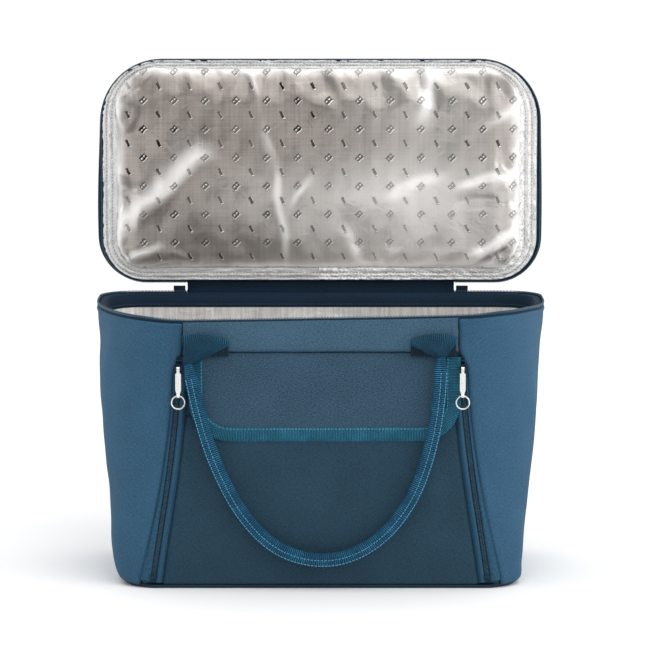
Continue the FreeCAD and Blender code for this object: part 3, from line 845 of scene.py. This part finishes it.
def liner():
    """Foil tub: walls that crumple between the seams, and a floor."""
    count, top = 260, 0.2275
    turn = np.linspace(0, math.tau, count, endpoint=False)
    radius = 1.1 / math.tau
    u, v = radius * np.cos(turn), radius * np.sin(turn)
    rows = []
    for z in np.linspace(top, 0.0125, 56):
        flat = ring(z, LINER_INSET - roll_inset(z), count)
        calm = smooth((top - z) / 0.02) * smooth((z - 0.012) / 0.02)
        push = 0.0009 * ripple(u, v + z * 0.7, 3, 0.05) + 0.0006 * np.abs(ripple(u * 1.4, z + v, 4, 0.03))
        x, y = (flat - unit(flat) * (push * calm + 0.0004)[:, None]).T
        rows.append(row_of(x, y, z))
    edge = rows[-1]
    floor = ((0.985, 0.0016), (0.93, 0.0019), (0.8, 0.0018), (0.6, 0.0020), (0.35, 0.0018), (0.1, 0.0019))
    rows += [edge * [share, share, 1] - [0, 0, drop] for share, drop in floor]
    tub = grid("foil_tub", rows, TUB_FOIL, "bag",
               ["liner_tub", "left_foam", "right_foam", "base_foam"], wrap=True)


def band(name, sign, material, replaces):
    """Padded band over the flap: full along its lower edge, and drawn in at the seam under it."""
    profile = [(0.2384, 0.1054), (0.2378, 0.1066), (0.2358, 0.1070), (0.2325, 0.1080), (0.2280, 0.1096),
               (0.2230, 0.1109), (0.2180, 0.1116), (0.2145, 0.1112), (0.2125, 0.1098), (0.2117, 0.1078),
               (0.2117, 0.1050)]
    x = np.linspace(-1, 1, 150) * BAND_HALF
    ends = smooth((BAND_HALF - np.abs(x)) / 0.004)
    seam_y = 0.1058
    rows = []
    for z, out in resample(profile, 0.0014):
        full = smooth((out - 0.105) / 0.004)
        y = seam_y + (out - seam_y) * (0.25 + 0.75 * ends)
        y = y + full * ends * 0.0005 * ripple(x, z, 21 if sign < 0 else 22, 0.06)
        y = y - full * 0.0010 * bell(-sign * x - 0.071, 0.006) * smooth((0.228 - z) / 0.012)
        lift = rim_lift(x, -1.0) * smooth((z - 0.213) / 0.027) if sign < 0 else 0
        rows.append(row_of(x, y * sign, z + lift))
    piece = grid(name, rows, material, "bag", replaces, flip=sign < 0)


# ---- front pocket ----
def pocket():
    """Front panel of the pocket between its two zips, tucked in behind the flap at the top."""
    low = 0.0030
    rows = []
    columns = np.linspace(-1, 1, 120)
    columns = columns + 0.05 * np.sin(math.pi * columns)
    for z in np.linspace(low, POCKET_TOP + 0.004, 70):
        half = zip_x(z) - TAPE_HALF - 0.0054
        x = columns * half
        to_edge = half - np.abs(x)
        fullness = smooth(to_edge / 0.055) * smooth((z - low) / 0.05)
        y = POCKET_Y - 0.0022 + 0.0016 * smooth(to_edge / 0.004) + 0.0021 * fullness
        y = y - 0.0020 * bell(to_edge, 0.0010) - 0.0020 * bell(z - low, 0.0016)
        y = y + 0.0005 * ripple(x, z, 41, 0.09) * fullness
        y = y - 0.0008 * bell(to_edge - 0.016, 0.009) * smooth((z - 0.02) / 0.05)
        y = y - 0.0020 * smooth((z - 0.140) / 0.012)
        rows.append(row_of(x, -y, z))
    grid("pocket_panel_cloth", rows, SHADED_POCKET_FABRIC, "bag", ["pocket_panel"],
         thick=FABRIC)
    hem = rows[-1] - [0, 0.0004, 0.006]
    stitch_row("pocket_hem_stitches", hem, FORWARD, 0.0034, (0.0013, 0.0003, 0.0003), NAVY_THREAD, "bag")


def zip_profiles(z):
    """Sections of the outer fold, the inner fold and the tape at height z, as (across, outward) pairs."""
    half, deep = TAPE_HALF, 0.0030
    rib = half + outer_rib(z)
    tuck = 0.0012 * bell(z - ZIP_LOW, 0.004)
    outer = [(half + 0.0002, -deep), (half + 0.0002, 0.0004), (half + 0.0006, 0.0013 - tuck),
             ((half + rib) / 2, 0.0016 - tuck), (rib - 0.0003, 0.0008), (rib, -0.0006),
             (rib + 0.0016, -0.0012), (rib + 0.0016, -deep)]
    inner = [(-half - 0.0003, -deep), (-half - 0.0003, 0.0004), (-half - 0.0009, 0.0018 - tuck),
             (-half - 0.0023, 0.0025 - tuck), (-half - 0.0038, 0.0019 - tuck), (-half - 0.0046, 0.0),
             (-half - 0.0062, -0.0010), (-half - 0.0062, -deep)]
    tape = [(half + 0.0010, -0.0004), (half + 0.0010, 0.0), (0.0003, 0.0001), (0.0, -0.0003),
            (-0.0003, 0.0001), (-half - 0.0010, 0.0), (-half - 0.0010, -0.0004)]
    return outer, inner, tape


def pocket_zip(side, word):
    """Folds, tape and coil of one pocket zip, all swept down the same line."""
    z = np.linspace(ZIP_HIGH + 0.002, ZIP_LOW - 0.0012, 100)
    path = row_of(side * zip_x(z), -TAPE_Y, z)
    outer, inner, tape = (np.array(rows) * [-side, 1] for rows in zip(*map(zip_profiles, z)))
    flip = side > 0
    strip(f"zip_outer_fold_{word}", path, FORWARD, outer, FOLD_FABRIC, "bag",
          [f"pocket_gusset_{word}"], flip=flip)
    strip(f"zip_inner_fold_{word}", path, FORWARD, inner, FOLD_FABRIC, "bag", flip=flip)
    strip(f"pocket_zip_cloth_{word}", path, FORWARD, tape, TAPE, "bag",
          [f"pocket_zip_tape_{word}"], flip=flip)
    z = np.arange(ZIP_LOW + 0.002, ZIP_HIGH - 0.006, TOOTH_PITCH)
    centres, leans = [], []
    for sign in (-1, 1):
        centres.append(row_of(side * zip_x(z) + sign * 0.00085, -TAPE_Y - 0.0006, z + sign * TOOTH_PITCH / 4))
        leans.append(np.tile([1.0, 0.0, sign * 0.12], (len(z), 1)))
    beads(f"pocket_zip_coil_{word}", np.concatenate(centres), np.concatenate(leans), FORWARD,
          (0.00105, 0.00040, 0.00055), COIL, "bag", [f"pocket_zip_teeth_{word}"])


# ---- flap ----
def flap_wave(x, z):
    """How far the flap stands off its plane."""
    return 0.0006 * ripple(x, z, 51, 0.10) * smooth((FLAP_TOP - z) / 0.03)


def flap_path(inset):
    """Line round the sides and bottom of the flap, this far inside its edge."""
    low = FLAP_LOW + inset
    ends = []
    for edge, radius in FLAP_EDGES:
        side, r = math.copysign(1, edge), radius - inset
        corner = [(edge - side * (inset + r * (1 - math.cos(a))), low + r * (1 - math.sin(a)))
                  for a in np.linspace(0, math.pi / 2, 14)]
        ends.append([(edge - side * inset, FLAP_TOP - 0.004)] + corner)
    x, z = resample(ends[1] + ends[0][::-1], 0.003).T
    return row_of(x, -FLAP_Y - flap_wave(x, z), z)


def flap():
    """Flap over the pocket, sewn down along its top, with binding and stitches round the other sides."""
    inset = BIND_W / 2
    low = FLAP_LOW + inset
    rows = []
    for z in np.linspace(FLAP_TOP, low, 46):
        reach = []
        for edge, radius in FLAP_EDGES:
            r = radius - inset
            up = np.clip((low + r - z) / r, 0, 1)
            reach.append(edge - math.copysign(inset + r * (1 - math.sqrt(1 - up * up)), edge))
        x = np.linspace(*reach, 90)
        full = smooth((x - reach[0]) / 0.05) * smooth((reach[1] - x) / 0.05) * smooth((FLAP_TOP - z) / 0.02)
        sewn = smooth((z - FLAP_TOP + 0.006) / 0.006)
        rows.append(row_of(x, 0.0022 * sewn - 0.0007 * full - FLAP_Y + 0.0004 - flap_wave(x, z), z))
    sheet = grid("flap_cloth", rows, FLAP_FABRIC, "flap", ["pocket_flap"],
                 thick=0.0009, flip=True)
    w, t = inset, 0.00055
    profile = [(-w, -0.0009), (-w - 0.0002, 0.0), (-w, t), (-w * 0.5, t * 1.25), (0, t * 1.15),
               (w * 0.5, t * 1.25), (w, t), (w + 0.0003, 0.0), (w, -0.0009)]
    edge = strip("flap_edge_binding", flap_path(inset), FORWARD, profile, BINDING, "flap",
                 ["flap_binding"])
    thread = stitch_row("flap_stitches", flap_path(BIND_W - 0.0012) - [0, t * 1.1, 0], FORWARD, 0.0032,
                        (0.0012, 0.0003, 0.00028), THREAD, "flap")


# ---- handles ----
def turned(points, back):
    """Points made for the front of the bag, turned round to its back if asked."""
    return points * [-1, -1, 1] if back else points


def grip_line():
    """Quadratic curve that is tangent to the route's legs at their middles."""
    route = np.array(GRIP_ROUTE)
    middles = (route[1:] + route[:-1]) / 2
    line = [route[0]]
    for a, corner, b in zip(middles, route[1:-1], middles[1:]):
        line += [(1 - t) ** 2 * a + 2 * t * (1 - t) * corner + t * t * b for t in np.linspace(0, 1, 16)]
    x, z = resample(line + [route[-1]], 0.0022).T
    s = lengths(row_of(x, z, 0.0))
    return row_of(x, -GRIP_Y + 0.0004 * np.sin(s * 38) + 0.0003 * np.sin(s * 91 + 1), z)


def grip(back):
    """Rolled and stitched webbing of one handle, narrower where the fans take it in."""
    word = "rear" if back else "front"
    path = turned(grip_line(), back)
    out = (0, 1, 0) if back else FORWARD
    s = lengths(path)
    swell = 0.62 + 0.38 * smooth(s / 0.018) * smooth((s[-1] - s) / 0.018)
    scale = np.column_stack([GRIP_HALF_W * swell, GRIP_HALF_T * (0.5 + 0.5 * swell)])
    section = np.array(GRIP_SECTION[::-1])[None, :, :] * scale[:, None, :]
    soften(strip(f"{word}_grip_webbing", path, out, section, GRIP_WEB, f"{word}_grip",
                 [f"{word}_handle"]))
    for label, across, deep in (("centre", 0.02, 0.86), ("edge", 0.80, 1.02)):
        row = sweep(path[6:-6], out, [(GRIP_HALF_W * across, GRIP_HALF_T * deep)])[:, 0]
        stitch_row(f"{word}_grip_{label}_stitches", row, out, 0.0031, (0.0012, 0.00033, 0.0003), THREAD,
                   f"{word}_grip")


def fan(back, index):
    """Webbing that rises from the band's seam, folds over and narrows into the grip."""
    word, where = ("rear" if back else "front"), ("left", "right")[index]
    web = WEB_X[index]
    pinch_x, low = GRIP_ROUTE[-index]
    q = np.linspace(-1, 1, 33)
    half = q * WEB_W / 2
    top = AXIS_Z - FOLD_R + 0.0022 + FAN_LEAN[index] * q - 0.0038 * q ** 2
    rows = []
    rising = 7
    for share in np.linspace(0, 1, rising):
        z = FAN_LOW + (FAN_FOLD - FAN_LOW) * share
        rows.append(row_of(web + half, -0.1121 - 0.0012 * share, z + (top - FAN_FOLD) * share))
    for angle in np.linspace(0.12, math.pi - 0.05, 9):
        rows.append(row_of(web + half, FOLD_R * math.cos(angle) - AXIS_Y - 0.0001,
                           top + FOLD_R * math.sin(angle)))
    for share in np.linspace(0.06, 1, 18):
        x = web + (pinch_x - web) * share + half * (1 - share) + q * GRIP_HALF_W * 0.6 * share
        gather = 0.0034 * q ** 2 + 0.0012 * np.cos(q * 9) * (1 - share) - 0.0012
        y = gather * smooth(share / 0.9) - AXIS_Y - FOLD_R - 0.0002
        rows.append(row_of(x, y, top * (1 - share) + (low - 0.0015 * q ** 2) * share))
    points = turned(np.array(rows), back)
    uv = np.stack(np.broadcast_arrays(half + WEB_W / 2, lengths(points[:, 16])[:, None]), axis=2)
    nodes = [f"{word}_handle_anchors"] if index == 0 else []
    piece = grid(f"{word}_webbing_fan_{where}", points, WEBBING, None, nodes, thick=0.0014, uv=uv)
    piece.modifiers["thickness"].offset = 0.0
    # Painted shade: the rising rows of the fan take the darker copy of the webbing.
    piece.data.materials.append(SHADED_WEB)
    for face in piece.data.polygons:
        face.material_index = int(face.index < rising * (len(q) - 1))
    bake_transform(piece)


# ---- lid ----
def lid_outline(insets, radii, count, bulge=0.0):
    """Closed outline of the open lid in x and z, anticlockwise from the middle of its lower edge.
    insets are those of the sides, the top and the lower edge; radii those of the top and lower corners.
    """
    side, top, under = insets
    low, high, half = LID_Z + under, LID_TOP + LID_RISE - top, RIM_HALF_W - side
    corners = [(half, low, radii[1], -90), (half, high, radii[0], 0), (-half, high, radii[0], 90),
               (-half, low, radii[1], 180)]
    points = [(0.0, low)]
    for x, z, r, start in corners:
        x, z = x - math.copysign(r, x), z + r if z == low else z - r
        turn = np.radians(np.linspace(start, start + 90, 19))
        points += [(x + r * math.cos(a), z + r * math.sin(a)) for a in turn]
    x, z = spaced(np.array(points + points[:1]), count, closed=True).T
    out = np.where(x < 0, -LID_BULGE_LEFT, LID_BULGE_RIGHT) * bell(z - 0.318, 0.075)
    return np.stack([x + out * bulge * smooth((np.abs(x) - 0.15) / 0.04), z], axis=1)


def lid_rows(levels, count=360, bulge=0.0):
    """Rows round the lid for (inset, y) pairs. inset is one number, or three for sides, top and low edge."""
    rows = []
    for inset, y in levels:
        insets = np.broadcast_to(inset, 3)
        radii = [max(r - insets[0], 0.006) for r in (LID_R_TOP, LID_R_LOW)]
        x, z = lid_outline(insets, radii, count, bulge).T
        rows.append(row_of(x, y, z))
    return np.array(rows)


def binding_row(share, y, count):
    """Row round the silver binding, part of the way from its outer edge to the pillow.
    The whole lining sits a little to the left of the lid's middle.
    """
    insets = [a + (b - a) * share for a, b in zip(EDGE_INSET, PILLOW_INSET)]
    return lid_rows([(insets, y)], count)[0] - [0.0010 + 0.0014 * share, 0, 0]


def lid_shell():
    """Outer fabric of the lid, crowned over its foam, and the band round its edge."""
    edge = [(0.0046, -0.0062), (0.0024, -0.0064), (0.0006, -0.0050), (0.0, -0.0030), (0.0002, -0.0010),
            (0.0012, -0.0002), (0.0026, -0.0004)]
    grid("lid_edge_cloth", lid_rows([(a, LID_Y + b) for a, b in edge], bulge=1.0), NAVY_FABRIC, "lid",
         ["lid_edge_band", "lid_foam"], wrap=True, flip=True)
    centre = np.array([0.0, (LID_Z + LID_TOP) / 2])
    base = lid_rows([(0.0016, LID_Y)], bulge=1.0)[0][:, [0, 2]]
    rows = []
    for share in (1.0, 0.994, 0.985, 0.96, 0.92, 0.86, 0.78, 0.68, 0.56, 0.42, 0.28, 0.14, 0.001):
        x, z = (centre + (base - centre) * share).T
        crown = 0.0006 * (1 - share ** 6) + 0.0002 * ripple(x, z, 61, 0.09) * (1 - share ** 8)
        rows.append(row_of(x, LID_Y - 0.0008 + crown, z))
    rows = np.array(rows)
    piece = grid("lid_panel_cloth", rows, SIDE_FABRIC, "lid", ["lid_top_panel"], wrap=True,
                 flip=True, uv=rows[:, :, [0, 2]])


def lid_flange():
    """Crushed silver binding round the pillow, with its two rows of stitching."""
    count = 640
    grooves = (0.28, 0.68)
    shares = [-0.06, -0.03, 0.0] + list(np.linspace(0.08, 0.92, 9)) + [1.06, 1.2]
    depths = [0.0012, 0.0002, -0.0007] + [-0.0008] * 9 + [-0.0012, -0.0012]
    rows = np.array([binding_row(a, LID_FACE_Y + b, count) for a, b in zip(shares, depths)])
    rim = np.linspace(0, 1.15, count, endpoint=False)
    for share, row in list(zip(shares, rows))[2:-1]:
        groove = sum(bell(share - middle, 0.09) for middle in grooves)
        across = share * 0.02
        crush = 0.0007 * ripple(rim, across, 71, 0.010, 9) + 0.0006 * ripple(rim, across, 72, 0.0045, 9)
        row[:, 1] += 0.0008 * groove - 0.0007 * (1 - groove) + crush * (1 - 0.5 * groove)
    soften(grid("lid_silver_binding", rows, SILVER_EDGE, "lid", ["lid_binding"],
                wrap=True, flip=True))
    for label, share in zip(("outer", "inner"), grooves):
        line = binding_row(share, LID_FACE_Y - 0.0009, 700)
        stitch_row(f"lid_stitches_{label}", np.concatenate([line, line[:1]]), FORWARD, 0.0031,
                   (0.0012, 0.00032, 0.0003), SILVER_THREAD, "lid")


def fold_height(x, z):
    """Height of the foil's ridges and valleys, which bend a little along their length."""
    total = np.zeros_like(x)
    for (x0, z0), (x1, z1), width, height in FOLDS:
        run = math.hypot(x1 - x0, z1 - z0)
        along = ((x - x0) * (x1 - x0) + (z - z0) * (z1 - z0)) / run
        bend = 0.0016 * np.sin(along * 90 + x0 * 400)
        across = ((x - x0) * (z1 - z0) - (z - z0) * (x1 - x0)) / run + bend
        ends = smooth((along + 0.01) / 0.03) * smooth((run + 0.01 - along) / 0.03)
        total += height * bell(across, width) * ends
    return total


def apply_modifiers(obj):
    """Put the modified mesh in place of the object's own."""
    deps = bpy.context.evaluated_depsgraph_get()
    mesh = bpy.data.meshes.new_from_object(obj.evaluated_get(deps))
    obj.modifiers.clear()
    obj.data = mesh


def remesh(obj, size):
    """Rebuild the object's mesh with even cells."""
    cells = obj.modifiers.new("cells", "REMESH")
    cells.mode = "VOXEL"
    cells.voxel_size = size
    apply_modifiers(obj)


def points_of(mesh):
    return np.array([v.co for v in mesh.vertices])


def inflate(obj, pinned, cap):
    """Blow a soft piece up with the cloth solver. Pinned points stay, and none moves farther than the cap."""
    start = points_of(obj.data)
    group = obj.vertex_groups.new(name="pinned")
    group.add([int(i) for i in np.nonzero(pinned)[0]], 1.0, "REPLACE")
    cloth = obj.modifiers.new("cloth", "CLOTH")
    settings = dict(quality=6, mass=0.2, vertex_group_mass="pinned", tension_stiffness=18,
                    compression_stiffness=18, bending_stiffness=0.4, use_pressure=True,
                    uniform_pressure_force=4.0, shrink_min=-0.03)
    for key, value in settings.items():
        setattr(cloth.settings, key, value)
    cloth.settings.effector_weights.gravity = 0
    cloth.point_cache.frame_start = 1
    cloth.point_cache.frame_end = CLOTH_FRAMES
    scene = bpy.context.scene
    for number in range(1, CLOTH_FRAMES + 1):
        scene.frame_set(number)
    deps = bpy.context.evaluated_depsgraph_get()
    move = points_of(obj.evaluated_get(deps).data) - start
    far = np.linalg.norm(move, axis=1)[:, None]
    move *= np.minimum(1.0, cap / np.maximum(far, 1e-9))
    obj.modifiers.clear()
    obj.vertex_groups.clear()
    obj.data.vertices.foreach_set("co", (start + move).ravel())
    obj.data.update()
    scene.frame_set(1)


def lid_pillow():
    """Foil over foam: a slab blown up by the cloth solver, then creased where the film has been pulled, with
    painted highlights and reflections stored as an attribute.
    """
    face = LID_FACE_Y - PILLOW_T
    pinned_y = LID_FACE_Y - 0.0020
    slab = []
    for extra, y in ((0.0, LID_FACE_Y + 0.0004), (-0.0002, face + 0.0022), (0.0020, face)):
        x, z = lid_outline([a + extra for a in PILLOW_INSET], (PILLOW_R, PILLOW_R * 0.8), 240).T
        slab.append(row_of(x - PILLOW_SHIFT, y, z))
    piece = grid("lid_foil_pillow", slab, LID_FOIL, None, ["lid_liner"],
                 wrap=True, ends=True, flip=True)
    remesh(piece, 0.0042)
    inflate(piece, points_of(piece.data)[:, 1] > pinned_y, cap=0.0075)
    apply_modifiers(soften(piece))
    mesh = piece.data
    at = points_of(mesh)
    x, y, z = at.T
    folds = fold_height(x, z)
    side, top, under = PILLOW_INSET
    to_edge = np.minimum(RIM_HALF_W - side - np.abs(x + PILLOW_SHIFT), LID_TOP + LID_RISE - top - z)
    to_edge = np.minimum(to_edge, z - LID_Z - under)
    calm = smooth(to_edge / 0.012)
    lift = folds + calm * (0.0009 * ripple(x, z, 81, 0.07) + 0.0004 * ripple(x, z * 0.5, 82, 0.022))
    lift += 0.0003 * ripple(x, z, 83, 0.03) * (1 - calm) * smooth(to_edge / 0.003)
    low = smooth((0.335 - z) / 0.05) * smooth((z - LID_Z - 0.016) / 0.02)
    bulge = np.maximum(face + 0.0004 - y, 0)
    y -= lift * smooth((pinned_y - y) / 0.0030) - 0.5 * low * bulge
    mesh.vertices.foreach_set("co", at.ravel())

    # Painted highlights and reflections, stored as the "bright" attribute: along the pillow's edges, on the
    # ridges of the folds, towards the right and low down.
    bright = bell(np.maximum(to_edge, 0), 0.0062) * (0.85 + 0.15 * np.clip(ripple(x, z, 84, 0.05), -1, 1))
    bright += 280 * np.clip(folds, 0, 0.004) + 0.24 * bell(x - 0.10, 0.07)
    bright = np.clip(bright + 0.48 * smooth((0.385 - z) / 0.06) * bell(x - 0.06, 0.12), 0, 1)
    layer = mesh.attributes.new("bright", "FLOAT", "POINT")
    layer.data.foreach_set("value", bright.astype(np.float32))
    set_uv(mesh, at[:, [0, 2]] - MARK_ORIGIN + [MARK_COLUMN * 20, MARK_ROW * 40])
    shade_smooth(mesh)
    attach(piece, "lid")


def lid_zip():
    """The lid's half of the zip, which runs round all but the hinge."""
    profile = [(0.0001, -0.0001), (0.0001, -0.0010), (0.0004, -0.0012), (0.0022, -0.0009), (0.0024, 0.0)]
    rows = lid_rows([(a, LID_FACE_Y + b) for a, b in profile], 420)
    free = np.nonzero(~on_lid_hinge(rows[0]))[0]
    rows = np.roll(rows, -free[0], axis=1)[:, :len(free)]
    grid("lid_zip_tape", rows, NAVY_FABRIC, "lid", ["rim_zip_upper_tape"])
    line = resample(lid_rows([(0.0004, LID_FACE_Y - 0.0016)], 2400)[0], TOOTH_PITCH)
    line = line[~on_lid_hinge(line)]
    out = np.cross(np.gradient(line, axis=0), [0, 1.0, 0])
    beads("lid_zip_coil", line, (0, 1, 0), out, (0.0009, 0.00045, 0.0009), COIL, "lid",
          ["rim_zip_upper_teeth"])


def on_lid_hinge(points):
    return (np.abs(points[:, 0]) < LID_ZIP_GAP) & (points[:, 2] < LID_Z + 0.02)


def hinge():
    """Strip of fabric that joins the lid to the back of the mouth."""
    x = np.linspace(-HINGE_HALF, HINGE_HALF, 80)
    rows = []
    for share in np.linspace(0, 1, 16):
        z = HINGE_LOW + (HINGE_HIGH - HINGE_LOW) * share
        slack = (0.0014 + 0.0003 * ripple(x, z, 91, 0.05)) * math.sin(math.pi * share)
        rows.append(row_of(x, RIM_HALF_D - 0.0002 + slack, z))
    piece = grid("hinge_cloth", rows, NAVY_FABRIC, None, ["lid_hinge_strip"],
                 thick=0.0009, flip=True)
    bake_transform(piece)


# ---- metal and hidden parts ----
def dress(names, material, bevel=0.0):
    """Give CAD parts a material and, where they are metal, softened edges."""
    for name in names:
        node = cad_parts[name]
        node.data.materials.clear()
        node.data.materials.append(material)
        if bevel:
            edge = node.modifiers.new("soft_edges", "BEVEL")
            edge.width = bevel
            edge.segments = 2
            edge.limit_method = "ANGLE"


def hardware():
    """Pulls, rings, sliders and the hidden foam and board, which keep their CAD shapes."""
    for _, word in SIDES:
        dress([f"pocket_pull_{word}", f"pull_ring_{word}"], CHROME, EDGE_R)
        dress([f"pocket_slider_{word}", f"rim_slider_{word}", f"rim_pull_{word}"], SLIDER_METAL, EDGE_R)
    dress(["pocket_zip_stops"], SLIDER_METAL, EDGE_R)
    dress(["front_foam", "back_foam"], FOAM)
    dress(["base_board"], BOARD)


# ---- camera, floor and light ----
def studio():
    """Camera, pale floor, lights and the glow all round."""
    data = bpy.data.cameras.new("camera")
    data.lens = LENS
    data.sensor_width = SENSOR
    camera = put_in_scene("camera", data)
    camera.location = CAMERA_AT
    camera.rotation_euler = (math.radians(90 - CAMERA_DIP), 0, 0)
    bpy.context.scene.camera = camera
    bpy.context.scene.view_settings.view_transform = "Standard"

    mesh = bpy.data.meshes.new("floor")
    corners = [(FLOOR_HALF * x, FLOOR_HALF * y, 0) for x, y in ((-1, -1), (1, -1), (1, 1), (-1, 1))]
    mesh.from_pydata(corners, [], [(0, 1, 2, 3)])
    floor = put_in_scene("floor", mesh)
    paint = Shader("floor_paint")
    paint.set(Base_Color=(FLOOR_TONE, FLOOR_TONE, FLOOR_TONE, 1.0), Roughness=0.9)
    mesh.materials.append(paint.material)

    for row in LIGHTS:
        light(*row)
    sky()


def light(name, kind, at, energy, spread):
    """A light at a place, turned towards the object."""
    data = bpy.data.lights.new(name, kind)
    data.energy = energy
    if kind == "SUN":
        data.angle = spread
    else:
        data.shape = "SQUARE"
        data.size = spread
    lamp = put_in_scene(name, data)
    lamp.location = at
    lamp.rotation_euler = (math.acos(at[2] / np.linalg.norm(at)), 0, math.atan2(-at[1], -at[0]) - math.pi / 2)


def sky():
    """Studio light from every side, strongest from above and behind as in front of a lit white backdrop."""
    world = bpy.data.worlds.new("studio")
    bpy.context.scene.world = world
    world.use_nodes = True
    tree = world.node_tree
    tree.nodes.clear()
    at = tree.nodes.new("ShaderNodeTexCoord")
    along = tree.nodes.new("ShaderNodeVectorMath")
    along.operation = "DOT_PRODUCT"
    along.inputs[1].default_value = (0.0, 0.6, 0.8)
    ramp = tree.nodes.new("ShaderNodeMapRange")
    for key, number in (("From Min", -0.6), ("From Max", 0.9), ("To Min", SKY_FRONT), ("To Max", SKY_BACK)):
        ramp.inputs[key].default_value = number
    glow = tree.nodes.new("ShaderNodeBackground")
    end = tree.nodes.new("ShaderNodeOutputWorld")
    tree.links.new(at.outputs["Generated"], along.inputs[0])
    tree.links.new(along.outputs["Value"], ramp.inputs["Value"])
    tree.links.new(ramp.outputs[0], glow.inputs["Strength"])
    tree.links.new(glow.outputs[0], end.inputs["Surface"])


# ---- the object ----
def main():
    studio()
    for side, word in SIDES:
        side_wall(side, f"{word}_side_cloth", [f"{word}_side_panel"])
    flat_wall("back_cloth", True, SIDE_FABRIC, ["back_panel"])
    flat_wall("front_cloth", False, SHADED_POCKET_FABRIC, ["front_panel"])
    base_tray()
    mouth()
    liner()
    band("front_band_cloth", -1, LIT_BAND_FABRIC, ["front_band"])
    band("rear_band_cloth", 1, SIDE_FABRIC, ["rear_band"])
    pocket()
    for side, word in SIDES:
        pocket_zip(side, word)
    flap()
    for back in (False, True):
        grip(back)
        for index in (0, 1):
            fan(back, index)
    lid_shell()
    lid_flange()
    lid_pillow()
    lid_zip()
    hinge()
    hardware()


main()
bpy.context.view_layer.update()
